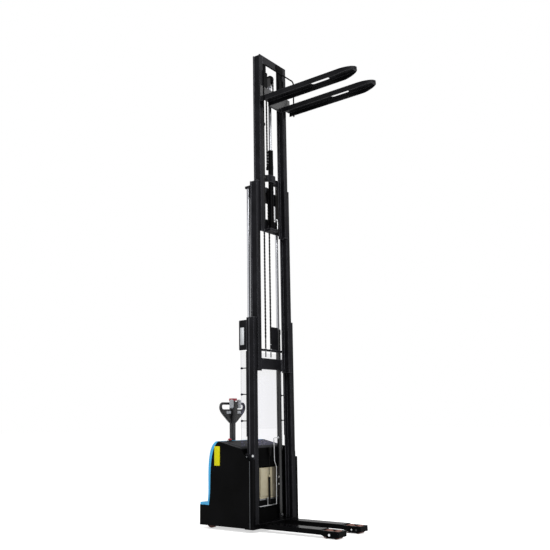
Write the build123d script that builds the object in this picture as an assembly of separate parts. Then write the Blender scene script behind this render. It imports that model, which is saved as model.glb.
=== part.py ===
"""Electric stacker with a three-stage mast, stored fully raised. Millimetres, forks towards -Y, +Z up."""
from build123d import *
import os

# Reach of the machine, measured from the front plane of the inner mast
CHASSIS_BACK = 764.0
CARRIAGE_FACE = 30.0
FORK_LENGTH = 1218.0
CHASSIS_WIDTH = 790.0

# Mast rails, and how far each stage stays inside the one around it
RAIL_LENGTH = 2110.0
STAGE_OVERLAP = 575.0
STAGE_BOTTOM = 95.0
OUTER_DROP = 5.0
RAIL_DEPTH = 102.0
STAGGER_GAP = 5.0
FLANGE = 14.0
WEB = 12.0
RAIL_ROUND = 3.0
MAST_INSET = 41.0
OUTER_FLANGE = 60.0
STAGE_FLANGE = 56.0
STAGE_LIP = 10.0
NEST_GAP = 4.0
ROLL_GAP = 0.35
SIDE_GAP = 2.0
RUN_FIT = 0.05
SEAT_GAP = 0.3
ROLLER_PIN = 14.0
ROLLER_RISE = 60.0
PAD_HEIGHT = 60.0
PAD_DROP = 6.0
TOP_BEAM = (180.0, 40.0)
MIDDLE_BEAM = (29.0, 149.0)
INNER_BEAM = (37.0, 189.0)
INNER_TOP_BEAM = (93.0, 45.0, 10.0)
CROSS_BAR = (342.0, 24.0)
HOSE_PLATE = 256.0
CHAIN_ANCHOR = 108.0

# Forks and carriage
FORKS_WIDTH = 570.0
FORK_WIDTH = 170.0
FORK_HEIGHT = 58.0
FORK_WALL = 8.0
FORK_CLEAR = 4.0
FREE_MARGIN = 547.0
FORK_TIP_TAPER = 190.0
FORK_SLOT_LENGTH = 232.0
FORK_SLOT_WIDTH = 104.0
FORK_SLOT_ROUND = 30.0
FORK_SLOT_START = 630.0
CARRIAGE_PLATE = 16.0
CARRIAGE_RISE = 145.0
APRON_LAP = 3.0
CHEEK = 14.0
CHEEK_HEIGHT = 370.0
CHEEK_FLANGE = (61.0, 10.0)
BACKREST_BAR = 8.0
BACKREST_RISE = 380.0
BACKREST_REACH = 55.0
BACKREST_BEND = 34.0
BACKREST_FLAT = 2.0

# Legs and load wheels
LEG_INSET = 14.0
LEG_WIDTH = 142.0
LEG_BOTTOM = 34.0
LEG_DROP = 3.0
LEG_WALL = 6.0
LEG_REACH = 897.0
END_WALL = 10.0
END_RISE = 12.0
HOUSING_LENGTH = 257.0
HOUSING_STEP = 6.0
HOUSING_BOTTOM = 9.0
LOAD_WHEEL_RADIUS = 40.0
LOAD_WHEEL_WIDTH = 93.0
LOAD_WHEEL_GAP = 26.0
LOAD_AXLE = 10.0
AXLE_SKIN = 5.0
TIE_BOLT = (8.0, 13.0, 4.0)
WHEEL_ROOM = 3.0

# Chassis and cowl
SKIRT_BOTTOM = 41.0
PLATE = 8.0
PANEL = 4.0
PANEL_FRONT = 76.0
FOOT_TOP = 720.0
FOOT_DEPTH = 72.0
COVER = 5.0
LEDGE = 28.0
TOP_WALL = 12.0
COWL_TOP = 900.0
COWL_FALL = 69.0
COWL_BACK = 257.0
COWL_LEAD = 18.0
BAY = 150.0
BAY_GAP = 8.0
BATTERY_HEIGHT = 430.0
CONTROLLER = (240.0, 96.0, 145.0)
CONTROLLER_X = 60.0
CONTROLLER_RISE = 40.0
BULK_GAP = 5.0
# Rear edges of the panels and the cover: distance in from the bumper's rear face, drop below the cowl's top
PANEL_EDGE = ((219.0, 38.0), (172.0, 150.0), (148.0, 380.0))
COVER_EDGE = ((234.0, -2.0), (172.0, 42.0), (130.0, 150.0), (114.0, 380.0))
PANEL_BACK = 132.0
COVER_BACK = 98.0

# Steering, drive wheel and castors
DRIVE_RADIUS = 105.0
DRIVE_WIDTH = 70.0
DRIVE_CLEAR = 13.7
HUB_RADIUS = 60.0
HUB_SHAFT = 14.0
NECK_RADIUS = 50.0
YOKE_LAP = 3.0
YOKE_PLATE = 12.0
YOKE_ROOM = 30.0
SWING_GAP = 6.0
CASTOR_RADIUS = 62.0
CASTOR_WIDTH = 50.0
CASTOR_TRAIL = 35.0
CASTOR_HEADROOM = 44.0
CASTOR_PIN = 14.0
CASTOR_AXLE = 9.0

# Cylinders, rods, chains and sheaves
MAIN_INSET = 42.0
MAIN_GAP = 11.0
MAIN_BARREL = 27.0
MAIN_WALL = 5.0
MAIN_ROD = 18.0
MAIN_DROP = 75.0
GLAND = 60.0
GLAND_STEP = 4.0
FREE_BARREL = 30.0
FREE_WALL = 6.0
FREE_ROD = 18.0
FREE_GLAND = 50.0
FREE_SHEAVE_DROP = 220.5
CROSSHEAD = 95.0
COLLAR_DROP = 222.0
COLLAR = 36.0
STAY_DROP = 394.0
STAY_HEIGHT = 84.0
CHAIN_WIDTH = 18.0
CHAIN_THICK = 12.0
FREE_PITCH = 50.0
MAIN_PITCH = 30.0
MAIN_CHAIN_SPREAD = 92.0
SHEAVE_WIDTH = 22.0
SHEAVE_PIN = 12.0

# Tiller
PIVOT_RISE = 86.0
TILLER_STEM = (66.0, 50.0, 16.0)
TILLER_LENGTH = 752.0
FOLD_PIN = 10.0
HEAD_HEIGHT = 234.0
HEAD_WIDTH = 428.0
HEAD_THICK = 30.0
HEAD_ROUND = 9.0
GRIP_BAR = 27.0
LOOP_HEIGHT = 50.0
COLUMN_HALF = 38.0
COLUMN_FRONT = 50.0
COLUMN_BACK = 22.0
NECK_HEIGHT = 90.0
PADDLE_FRONT = 41.0
PADDLE_SHAFT = 7.0
PADDLE_GAP = 4.0
PADDLE = (50.0, 19.0, 46.0)
PADDLE_ROUND = 15.0
BELLY_TRAVEL = 8.0
BELLY = (80.0, 64.0, 27.0)
ROCKER = (70.0, 32.0)
ROCKER_PLACE = (84.0, 124.0)
ROCKER_ROOM = 1.8
ROCKER_DEPTH = 12.0
ROCKER_PIN = (4.0, 6.0)

# Guard behind the mast
GUARD_OVERHANG = 6.0
GUARD_BOTTOM = 850.0
GUARD_THICK = 4.0
GUARD_GAP = 2.0
STANDOFF_LOW = 260.0
STANDOFF_HIGH = 182.0
SIDE_PLATE_HEIGHT = 323.0
SIDE_PLATE_DROP = 26.0

# Places that follow from the sizes above
STAGE_TRAVEL = RAIL_LENGTH - STAGE_OVERLAP
FREE_LIFT = RAIL_LENGTH - FREE_MARGIN
FORK_TOP_LOWERED = 2 * LOAD_WHEEL_RADIUS + FORK_CLEAR + FORK_WALL
LEG_TOP = FORK_TOP_LOWERED - FORK_WALL - LEG_DROP
RAIL_STAGGER = FLANGE + STAGGER_GAP
OUTER_TOP = STAGE_BOTTOM + RAIL_LENGTH - OUTER_DROP
MAST_Y = (CARRIAGE_FACE + FORK_LENGTH - CHASSIS_BACK) / 2
REAR_Y = MAST_Y + CHASSIS_BACK
FACE_Y = MAST_Y - CARRIAGE_FACE
YOKE_RADIUS = DRIVE_RADIUS + YOKE_LAP
STEER_Y = REAR_Y - PLATE - SWING_GAP - YOKE_RADIUS
BUMPER_TOP = 2 * DRIVE_RADIUS + DRIVE_CLEAR + YOKE_PLATE + SEAT_GAP + PLATE
TILLER_PIVOT = BUMPER_TOP + PIVOT_RISE
HEAD_BOTTOM = TILLER_PIVOT + TILLER_LENGTH
MIDDLE_Y = MAST_Y + RAIL_STAGGER
OUTER_Y = MIDDLE_Y + RAIL_STAGGER
OUTER_REAR = OUTER_Y + RAIL_DEPTH
MIDDLE_REAR = MIDDLE_Y + RAIL_DEPTH
INNER_REAR = MAST_Y + RAIL_DEPTH
HALF_WIDTH = CHASSIS_WIDTH / 2
OUTER_HALF = HALF_WIDTH - MAST_INSET
OUTER_TIP = OUTER_HALF - OUTER_FLANGE
MIDDLE_HALF = OUTER_TIP - NEST_GAP + STAGE_LIP
MIDDLE_TIP = MIDDLE_HALF - STAGE_FLANGE
INNER_HALF = MIDDLE_TIP - NEST_GAP + STAGE_LIP
INNER_TIP = INNER_HALF - STAGE_FLANGE
MIDDLE_Z = STAGE_BOTTOM + STAGE_TRAVEL
INNER_Z = MIDDLE_Z + STAGE_TRAVEL
MIDDLE_TOP = MIDDLE_Z + RAIL_LENGTH
INNER_TOP = INNER_Z + RAIL_LENGTH
FORK_TOP = FORK_TOP_LOWERED + 2 * STAGE_TRAVEL + FREE_LIFT
FORK_BOTTOM = FORK_TOP - FORK_HEIGHT
CHANNEL = RAIL_DEPTH - 2 * FLANGE
ROLLER_RADIUS = CHANNEL / 2 - ROLL_GAP
MAIN_X = MIDDLE_HALF - MAIN_INSET
MAIN_Y = OUTER_REAR + MAIN_GAP + MAIN_BARREL
MAIN_TOP = OUTER_TOP - MAIN_DROP
FREE_Y = MAST_Y + RAIL_DEPTH / 2 + 1
GUARD_Y = MAIN_Y + MAIN_BARREL + GLAND_STEP + GUARD_GAP + GUARD_THICK
CHAIN_ROOT = CHAIN_THICK / 2 + SEAT_GAP
BULK_Y = GUARD_Y + BULK_GAP
INSIDE_Y = BULK_Y + PLATE
FLOOR = SKIRT_BOTTOM + PLATE

os.makedirs("parts", exist_ok=True)


def block(x, y, z):
    """Box between two X, two Y and two Z values."""
    size = (x[1] - x[0], y[1] - y[0], z[1] - z[0])
    centre = ((x[0] + x[1]) / 2, (y[0] + y[1]) / 2, (z[0] + z[1]) / 2)
    return Pos(*centre) * Box(*size)


def bar_x(radius, x, y, z):
    """Round bar along X."""
    return Pos((x[0] + x[1]) / 2, y, z) * Rot(0, 90, 0) * Cylinder(radius, x[1] - x[0])


def bar_y(radius, x, y, z):
    """Round bar along Y."""
    return Pos(x, (y[0] + y[1]) / 2, z) * Rot(90, 0, 0) * Cylinder(radius, y[1] - y[0])


def bar_z(radius, x, y, z):
    """Round bar along Z."""
    return Pos(x, y, (z[0] + z[1]) / 2) * Cylinder(radius, z[1] - z[0])


def slab_x(points, x):
    """Outline given as (y, z) points, thick along X."""
    face = make_face(Polyline(*[(y, z) for y, z in points], close=True))
    return Pos(x[0], 0, 0) * extrude(Plane.YZ * face, x[1] - x[0])


def slab_z(points, z):
    """Outline given as (x, y) points, thick along Z."""
    face = make_face(Polyline(*points, close=True))
    return Pos(0, 0, z[0]) * extrude(face, z[1] - z[0])


def other_side(shape):
    """The same piece on the other side of the machine."""
    return mirror(shape, about=Plane.YZ)


def pair(shape):
    """A piece and its mirror image, kept as two solids."""
    return Compound(children=[*shape.solids(), *other_side(shape).solids()])


def save(name, shape):
    export_step(shape, f"parts/{name}.step")


def rail(half, flange, lip, front, z):
    """One mast rail on the +X side: a web with two flanges and rounded outer corners."""
    whole = block((half - flange, half), (front, front + RAIL_DEPTH), z)
    corners = whole.edges().filter_by(Axis.Z)
    whole = fillet(corners, RAIL_ROUND)
    web_in = half - lip - WEB
    mouth = (front + FLANGE, front + RAIL_DEPTH - FLANGE)
    whole -= block((half - flange - 1, web_in), mouth, z)
    if lip > 0:
        whole -= block((half - lip, half + 1), mouth, z)
    return whole


def roller(x, y, z):
    """Guide roller with a bore for its pin."""
    body = bar_x(ROLLER_RADIUS, x, y, z)
    body = chamfer(body.edges().filter_by(GeomType.CIRCLE), 2)
    return body - bar_x(ROLLER_PIN + RUN_FIT, x, y, z)


def sheave(pitch, x, y, z):
    """Chain sheave with a groove and a bore."""
    middle = (x[0] + x[1]) / 2
    groove = (middle - CHAIN_WIDTH / 2 - 0.5, middle + CHAIN_WIDTH / 2 + 0.5)
    body = bar_x(pitch + CHAIN_THICK / 2 - 1, x, y, z)
    ring = bar_x(pitch + CHAIN_THICK, groove, y, z) - bar_x(pitch - CHAIN_ROOT, groove, y, z)
    return body - ring - bar_x(SHEAVE_PIN + RUN_FIT, x, y, z)


def chain(pitch, x, y, z, rear_end, front_end):
    """Chain over a sheave: two straight runs joined by half a turn."""
    side = (x - CHAIN_WIDTH / 2, x + CHAIN_WIDTH / 2)
    turn = bar_x(pitch + CHAIN_THICK / 2, side, y, z) - bar_x(pitch - CHAIN_THICK / 2, side, y, z)
    turn &= block(side, (y - 2 * pitch, y + 2 * pitch), (z, z + 2 * pitch))
    near = (y - pitch - CHAIN_THICK / 2, y - pitch + CHAIN_THICK / 2)
    far = (y + pitch - CHAIN_THICK / 2, y + pitch + CHAIN_THICK / 2)
    return turn + block(side, near, (front_end, z)) + block(side, far, (rear_end, z))


# Base frame: cross beam, floor, side ribs, deck, skirt, castor deck and mast feet
RIB = HALF_WIDTH - PANEL
BEAM_Y = (OUTER_Y, OUTER_REAR + 10)
CASTOR_SWING = CASTOR_TRAIL + CASTOR_RADIUS + SWING_GAP
CASTOR_Y = REAR_Y - PLATE - CASTOR_SWING
CASTOR_X = RIB - PLATE - CASTOR_SWING
CASTOR_DECK = 2 * CASTOR_RADIUS + CASTOR_HEADROOM
DECK_Z = (BUMPER_TOP - PLATE, BUMPER_TOP)
DECK_FRONT = STEER_Y - YOKE_RADIUS - YOKE_ROOM
base = block((-RIB, RIB), BEAM_Y, (LEG_BOTTOM, LEG_TOP))
base += block((-RIB, RIB), (BEAM_Y[1] - 1, DECK_FRONT), (SKIRT_BOTTOM, SKIRT_BOTTOM + PLATE))
base += block((-RIB, RIB), (DECK_FRONT - PLATE, DECK_FRONT), (SKIRT_BOTTOM, BUMPER_TOP))
base += block((-RIB, RIB), (DECK_FRONT - PLATE, REAR_Y), DECK_Z)
base += block((-RIB, RIB), (REAR_Y - PLATE, REAR_Y), (SKIRT_BOTTOM, BUMPER_TOP))
shelf_z = (CASTOR_DECK, CASTOR_DECK + PLATE)
castor_shelf = block((YOKE_RADIUS + YOKE_ROOM, RIB), (DECK_FRONT - 1, REAR_Y - 1), shelf_z)
castor_shelf -= bar_z(CASTOR_PIN + RUN_FIT, CASTOR_X, CASTOR_Y, (CASTOR_DECK - 1, CASTOR_DECK + PLATE + 1))
rib = block((RIB - PLATE, RIB), (BEAM_Y[1] - 1, REAR_Y - 1), (SKIRT_BOTTOM, BUMPER_TOP - 1))
foot = block((OUTER_HALF, RIB), (OUTER_Y, OUTER_Y + FOOT_DEPTH), (LEG_TOP - 1, FOOT_TOP))
foot = fillet(foot.edges().filter_by(Axis.X).group_by(Axis.Z)[-1], 12)
for extra in (castor_shelf, rib, foot):
    base += extra
    base += other_side(extra)
base -= bar_z(NECK_RADIUS + SIDE_GAP, 0, STEER_Y, (DECK_Z[0] - 1, DECK_Z[1] + 1))
save("base_frame", base)

# Straddle legs: hollow beam and an open wheel housing with a flat end
LEG_X = (FORKS_WIDTH / 2 - LEG_INSET - LEG_WIDTH, FORKS_WIDTH / 2 - LEG_INSET)
HOUSING_TOP = LEG_TOP - HOUSING_STEP
LEG_MID = (LEG_X[0] + LEG_X[1]) / 2
TIP_Y = MAST_Y - LEG_REACH
HOUSING_Y = TIP_Y + HOUSING_LENGTH
WHEEL_HALF = LOAD_WHEEL_WIDTH / 2
FRONT_WHEEL_Y = TIP_Y + END_WALL + WHEEL_ROOM + LOAD_WHEEL_RADIUS
REAR_WHEEL_Y = FRONT_WHEEL_Y + 2 * LOAD_WHEEL_RADIUS + LOAD_WHEEL_GAP
ROOM_Y = (FRONT_WHEEL_Y - LOAD_WHEEL_RADIUS - WHEEL_ROOM, REAR_WHEEL_Y + LOAD_WHEEL_RADIUS + WHEEL_ROOM)
leg = block(LEG_X, (HOUSING_Y - 1, OUTER_Y), (LEG_BOTTOM, LEG_TOP))
leg = fillet(leg.edges().filter_by(Axis.Y), 5)
hollow = (LEG_X[0] + LEG_WALL, LEG_X[1] - LEG_WALL)
leg -= block(hollow, (HOUSING_Y, OUTER_Y - LEG_WALL), (LEG_BOTTOM + LEG_WALL, LEG_TOP - LEG_WALL))
housing_side = [
    (HOUSING_Y, LEG_TOP),
    (ROOM_Y[1] + 12, LEG_TOP),
    (ROOM_Y[1] - 4, HOUSING_TOP),
    (TIP_Y, HOUSING_TOP),
    (TIP_Y, HOUSING_BOTTOM + END_RISE),
    (FRONT_WHEEL_Y, HOUSING_BOTTOM),
    (REAR_WHEEL_Y - LOAD_WHEEL_RADIUS, HOUSING_BOTTOM),
    (REAR_WHEEL_Y + LOAD_WHEEL_RADIUS, LEG_BOTTOM),
    (HOUSING_Y, LEG_BOTTOM),
]
housing = slab_x(housing_side, LEG_X)
housing = fillet(housing.edges().filter_by(Axis.Z), 3)
leg += housing
room = (LEG_MID - WHEEL_HALF - WHEEL_ROOM, LEG_MID + WHEEL_HALF + WHEEL_ROOM)
leg -= block(room, ROOM_Y, (-1, LEG_TOP + 1))
axles = []
wheel_places = []
for wheel_y in (REAR_WHEEL_Y, FRONT_WHEEL_Y):
    axle = bar_x(LOAD_AXLE, (LEG_X[0], LEG_X[1] - AXLE_SKIN), wheel_y, LOAD_WHEEL_RADIUS)
    leg -= axle
    axles.append(axle)
    wheel_places.append(wheel_y)
tie_y = (REAR_WHEEL_Y + FRONT_WHEEL_Y) / 2
tie = bar_x(TIE_BOLT[0], LEG_X, tie_y, LOAD_WHEEL_RADIUS)
leg -= tie
hexagon = extrude(RegularPolygon(TIE_BOLT[1], 6), TIE_BOLT[2])
tie += Pos(LEG_X[1], tie_y, LOAD_WHEEL_RADIUS) * Rot(0, 90, 0) * hexagon
axles.append(tie)
save("leg_left", leg)
save("leg_right", other_side(leg))
axle_solids = [solid for axle in axles for solid in (*axle.solids(), *other_side(axle).solids())]
save("load_axles", Compound(children=axle_solids))

# Load wheels
for wheel_y, place in zip(wheel_places, ("rear", "front")):
    across = (LEG_MID - WHEEL_HALF, LEG_MID + WHEEL_HALF)
    wheel = bar_x(LOAD_WHEEL_RADIUS, across, wheel_y, LOAD_WHEEL_RADIUS)
    wheel = fillet(wheel.edges().filter_by(GeomType.CIRCLE), 4)
    wheel -= bar_x(LOAD_AXLE + RUN_FIT, across, wheel_y, LOAD_WHEEL_RADIUS)
    save(f"load_wheel_left_{place}", wheel)
    save(f"load_wheel_right_{place}", other_side(wheel))

# Side panels, following the slope of the covers
PANEL_Y = MAST_Y + PANEL_FRONT
COWL_REAR_Y = REAR_Y - COWL_BACK
COWL_FRONT_Y = BULK_Y - COWL_LEAD
TOP_SLOPE = COWL_FALL / (COWL_REAR_Y - COWL_FRONT_Y)


def top_height(y):
    """Height of the top cover's upper face at a given Y."""
    return COWL_TOP - TOP_SLOPE * (COWL_REAR_Y - y)


def rear_edge(points):
    """Points of a rear edge as (y, z), from their distance in and their drop."""
    return [(REAR_Y - inward, COWL_TOP - drop) for inward, drop in points]


def slab_curved(straight, curve, x):
    """Outline of straight (y, z) runs closed by one smooth curve from the last point to the first."""
    outline = Polyline(*straight) + Spline(straight[-1], *curve, straight[0])
    return Pos(x[0], 0, 0) * extrude(Plane.YZ * make_face(outline), x[1] - x[0])


panel_side = [
    (REAR_Y - PANEL_BACK, BUMPER_TOP + LEDGE),
    (REAR_Y - PANEL_BACK, BUMPER_TOP),
    (REAR_Y, BUMPER_TOP),
    (REAR_Y, SKIRT_BOTTOM),
    (PANEL_Y, SKIRT_BOTTOM),
    (PANEL_Y, FOOT_TOP - 13),
    (PANEL_Y + 35, FOOT_TOP + 11),
    (COWL_FRONT_Y, top_height(COWL_FRONT_Y)),
    (COWL_REAR_Y, COWL_TOP),
]
side_panel = slab_curved(panel_side, rear_edge(PANEL_EDGE), (RIB, HALF_WIDTH))
save("side_panel_left", side_panel)
save("side_panel_right", other_side(side_panel))


def cover_block(wall):
    """Rear cover as a solid drawn in by a wall thickness, with the bay for the tiller left out."""
    side = [
        (REAR_Y - COVER_BACK - wall, BUMPER_TOP - wall),
        (COWL_REAR_Y - wall, BUMPER_TOP - wall),
        (COWL_REAR_Y - wall, COWL_TOP - wall),
    ]
    curve = [(y - wall, z - wall) for y, z in rear_edge(COVER_EDGE)]
    half = RIB - 1 - wall
    body = slab_curved(side, curve, (-half, half))
    return body - block((-BAY - wall, BAY + wall), (BAY_Y - wall, REAR_Y), (FLOOR, COWL_TOP + 100))


# Rear cover: shell with a bay for the tiller, and its ledge on the bumper
BAY_Y = STEER_Y - NECK_RADIUS - BAY_GAP
rear_cover = cover_block(0) - cover_block(COVER)
ledge = block((-RIB + 1, RIB - 1), (BAY_Y - 24, REAR_Y), (BUMPER_TOP, BUMPER_TOP + LEDGE))
ledge = fillet(ledge.edges().filter_by(Axis.X).group_by(Axis.Z)[-1].sort_by(Axis.Y)[-1:], 10)
ledge -= block((-RIB + 1 + COVER, RIB - 1 - COVER), (MAST_Y, REAR_Y - COVER), (0, BUMPER_TOP + LEDGE - COVER))
rear_cover += ledge
rear_cover -= bar_z(NECK_RADIUS + 10, 0, STEER_Y, (BUMPER_TOP - 1, BUMPER_TOP + LEDGE + 1))
save("rear_cover", rear_cover)

# Top cover, sloping down towards the mast, with a seat for the stop button and the key switch
STOP_X = -250.0
KEY_X = 150.0
STOP_Y = COWL_REAR_Y - 37
STOP_TOP = top_height(STOP_Y) + 10
BOSS = 26.0
BOSS_DEPTH = 40.0
PLUNGER = 9.0
TOP_Y = (BULK_Y, COWL_REAR_Y - SEAT_GAP)
top_side = [(TOP_Y[0], top_height(TOP_Y[0])), (TOP_Y[1], top_height(TOP_Y[1]))]
top_side += [(y, z - TOP_WALL) for y, z in reversed(top_side)]
top_cover = slab_x(top_side, (-RIB + 1, RIB - 1))
for boss_x in (STOP_X, KEY_X):
    top_cover += bar_z(BOSS, boss_x, STOP_Y, (STOP_TOP - BOSS_DEPTH, STOP_TOP))
    top_cover -= bar_z(PLUNGER + RUN_FIT, boss_x, STOP_Y, (STOP_TOP - BOSS_DEPTH - 1, STOP_TOP + 1))
save("top_cover", top_cover)

# Emergency stop: mushroom knob on a plunger
STOP_TRAVEL = 6.0
stop_knob = bar_z(20, STOP_X, STOP_Y, (STOP_TOP + STOP_TRAVEL + 2, STOP_TOP + STOP_TRAVEL + 20))
stop_knob = fillet(stop_knob.edges().filter_by(GeomType.CIRCLE), 6)
stop_knob += bar_z(PLUNGER, STOP_X, STOP_Y, (STOP_TOP - BOSS_DEPTH + STOP_TRAVEL, STOP_TOP + STOP_TRAVEL + 4))
save("stop_button", stop_knob)

# Key switch: barrel that turns in its boss, with a flat grip
key = bar_z(PLUNGER, KEY_X, STOP_Y, (STOP_TOP - BOSS_DEPTH + STOP_TRAVEL, STOP_TOP + 4))
key += block((KEY_X - 2, KEY_X + 2), (STOP_Y - 12, STOP_Y + 12), (STOP_TOP + 3, STOP_TOP + 30))
save("key_switch", key)

# Front bulkhead behind the mast, open in front of the oil tank
TANK_X = (-40.0, 310.0)
TANK_Z = (290.0, 612.0)
WINDOW = 14.0
PIPE = 5.0
PIPE_START = TANK_X[0] + 40
PIPE_LOW = TANK_Z[0] - 70
BULK_HALF = RIB - PLATE
bulkhead = block((-BULK_HALF, BULK_HALF), (BULK_Y, INSIDE_Y), (FLOOR, top_height(BULK_Y) - TOP_WALL))
window_x = (TANK_X[0] - WINDOW, TANK_X[1] + WINDOW)
window_z = (TANK_Z[0] - WINDOW, TANK_Z[1] + WINDOW)
bulkhead -= block(window_x, (BULK_Y - 1, INSIDE_Y + 1), window_z)
bulkhead -= bar_y(PIPE + 1, PIPE_START, (BULK_Y - 1, INSIDE_Y + 1), PIPE_LOW)
save("bulkhead", bulkhead)

# Oil tank on its shelf, battery, pump unit and controller behind the bulkhead
TANK_DEPTH = 130.0
TANK_ROUND = 10.0
TANK_MID = INSIDE_Y + TANK_DEPTH / 2
FILLER_RADIUS = 18.0
FILLER_INSET = 60.0
FILLER_RISE = 24.0
FILLER_SINK = 4.0
tank = block(TANK_X, (INSIDE_Y, INSIDE_Y + TANK_DEPTH), TANK_Z)
tank = fillet(tank.edges(), TANK_ROUND)
filler_z = (TANK_Z[1] - FILLER_SINK, TANK_Z[1] + FILLER_RISE)
tank += bar_z(FILLER_RADIUS, TANK_X[0] + FILLER_INSET, TANK_MID, filler_z)
save("oil_tank", tank)
SHELF = 16.0
SHELF_INSET = 10.0
SHELF_SHORT = 60.0
PUMP_MOTOR_RADIUS = 52.0
PUMP_MOTOR_START = 70.0
PUMP_MOTOR_DROP = 64.0
VALVE = (80.0, 90.0, 108.0)
VALVE_OVERHANG = 6.0
VALVE_DROP = 12.0
PUMP_FOOT_X = (TANK_X[0] + 20.0, TANK_X[1] - 80.0)
PUMP_FOOT_DEPTH = 60.0
PUMP_FOOT_DROP = 100.0
shelf_y = (INSIDE_Y + SHELF_INSET, INSIDE_Y + TANK_DEPTH - SHELF_INSET)
pump = block((TANK_X[0], TANK_X[1] - SHELF_SHORT), shelf_y, (TANK_Z[0] - SHELF, TANK_Z[0]))
pump_motor_x = (TANK_X[0] + PUMP_MOTOR_START, TANK_X[1] - SHELF_SHORT)
pump += bar_x(PUMP_MOTOR_RADIUS, pump_motor_x, TANK_MID, TANK_Z[0] - PUMP_MOTOR_DROP)
valve_x = (TANK_X[0] - VALVE_OVERHANG, TANK_X[0] - VALVE_OVERHANG + VALVE[0])
valve_z = (TANK_Z[0] - VALVE_DROP - VALVE[2], TANK_Z[0] - VALVE_DROP)
pump += block(valve_x, (TANK_MID - VALVE[1] / 2, TANK_MID + VALVE[1] / 2), valve_z)
pump_foot_y = (TANK_MID - PUMP_FOOT_DEPTH / 2, TANK_MID + PUMP_FOOT_DEPTH / 2)
pump += block(PUMP_FOOT_X, pump_foot_y, (FLOOR, TANK_Z[0] - PUMP_FOOT_DROP))
save("pump_unit", pump)
BATTERY_SIDE = 22.0
BATTERY_TANK = 24.0
BATTERY_END = 6.0
BATTERY_ROUND = 12.0
battery_y = (INSIDE_Y + BATTERY_END, DECK_FRONT - PLATE - BATTERY_END)
battery = block((-RIB + BATTERY_SIDE, TANK_X[0] - BATTERY_TANK), battery_y, (FLOOR, FLOOR + BATTERY_HEIGHT))
battery = fillet(battery.edges().filter_by(Axis.Z), BATTERY_ROUND)
save("battery_pack", battery)
controller_x = (CONTROLLER_X, CONTROLLER_X + CONTROLLER[0])
controller_y = (DECK_FRONT - PLATE - CONTROLLER[1], DECK_FRONT - PLATE)
controller_z = (FLOOR + CONTROLLER_RISE, FLOOR + CONTROLLER_RISE + CONTROLLER[2])
controller = block(controller_x, controller_y, controller_z)
controller = fillet(controller.edges().filter_by(Axis.Y), 6)
save("controller", controller)

# Outer mast: rails with guide pads at the top, and the rear cross bar with its chain anchors
outer_rail = rail(OUTER_HALF, OUTER_FLANGE, 0, OUTER_Y, (LEG_TOP, OUTER_TOP))
pad_y = (OUTER_Y + FLANGE, OUTER_Y + RAIL_DEPTH - FLANGE)
pad_z = (OUTER_TOP - PAD_HEIGHT - PAD_DROP, OUTER_TOP - PAD_DROP)
outer_rail += block((MIDDLE_HALF + SIDE_GAP, OUTER_HALF - WEB + 1), pad_y, pad_z)
save("outer_rails", pair(outer_rail))
BAR_Z = (OUTER_TOP - CROSS_BAR[0], OUTER_TOP - CROSS_BAR[0] + CROSS_BAR[1])
BAR_Y = (OUTER_REAR, OUTER_REAR + 10)
ANCHOR_TOP = BAR_Z[1] + CHAIN_ANCHOR
CHAIN_X = MAIN_CHAIN_SPREAD / 2
MAIN_SHEAVE_Y = MIDDLE_REAR + 5 - CHAIN_THICK / 2 - MAIN_PITCH
CHAIN_REAR = MAIN_SHEAVE_Y + MAIN_PITCH
cross_bar = block((-OUTER_HALF + 8, OUTER_HALF - 8), BAR_Y, BAR_Z)
hose_x = (80, MAIN_X - MAIN_BARREL - GLAND_STEP - 3)
hose_plate = block(hose_x, (BAR_Y[1], BAR_Y[1] + 8), (BAR_Z[0], BAR_Z[1] + HOSE_PLATE))
cross_bar += fillet(hose_plate.edges().filter_by(Axis.Y), 8)
for side in (-1, 1):
    lug_x = (side * CHAIN_X - 10, side * CHAIN_X + 10)
    cross_bar += block(lug_x, (CHAIN_REAR - 6, BAR_Y[0] + 1), BAR_Z)
    cross_bar += bar_z(5, side * CHAIN_X, CHAIN_REAR, (BAR_Z[0] - 24, ANCHOR_TOP))
save("outer_cross_bar", cross_bar)

# Main lift cylinders behind the outer rails, and their rods under the middle mast's ears
barrel = bar_z(MAIN_BARREL, MAIN_X, MAIN_Y, (FLOOR, MAIN_TOP))
barrel += bar_z(MAIN_BARREL + GLAND_STEP, MAIN_X, MAIN_Y, (MAIN_TOP - GLAND, MAIN_TOP - 10))
barrel -= bar_z(MAIN_BARREL - MAIN_WALL, MAIN_X, MAIN_Y, (FLOOR + 20, MAIN_TOP - GLAND))
barrel -= bar_z(MAIN_ROD + RUN_FIT, MAIN_X, MAIN_Y, (MAIN_TOP - GLAND - 1, MAIN_TOP + 1))
save("lift_cylinders", pair(barrel))
EAR_Z = (MIDDLE_TOP - 66, MIDDLE_TOP - 40)
PISTON_GAP = 0.4
piston_top = MAIN_TOP - GLAND - 10
rod = bar_z(MAIN_ROD, MAIN_X, MAIN_Y, (piston_top - 40, EAR_Z[0]))
rod += bar_z(MAIN_BARREL - MAIN_WALL - PISTON_GAP, MAIN_X, MAIN_Y, (piston_top - 40, piston_top))
save("lift_rods", pair(rod))

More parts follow.
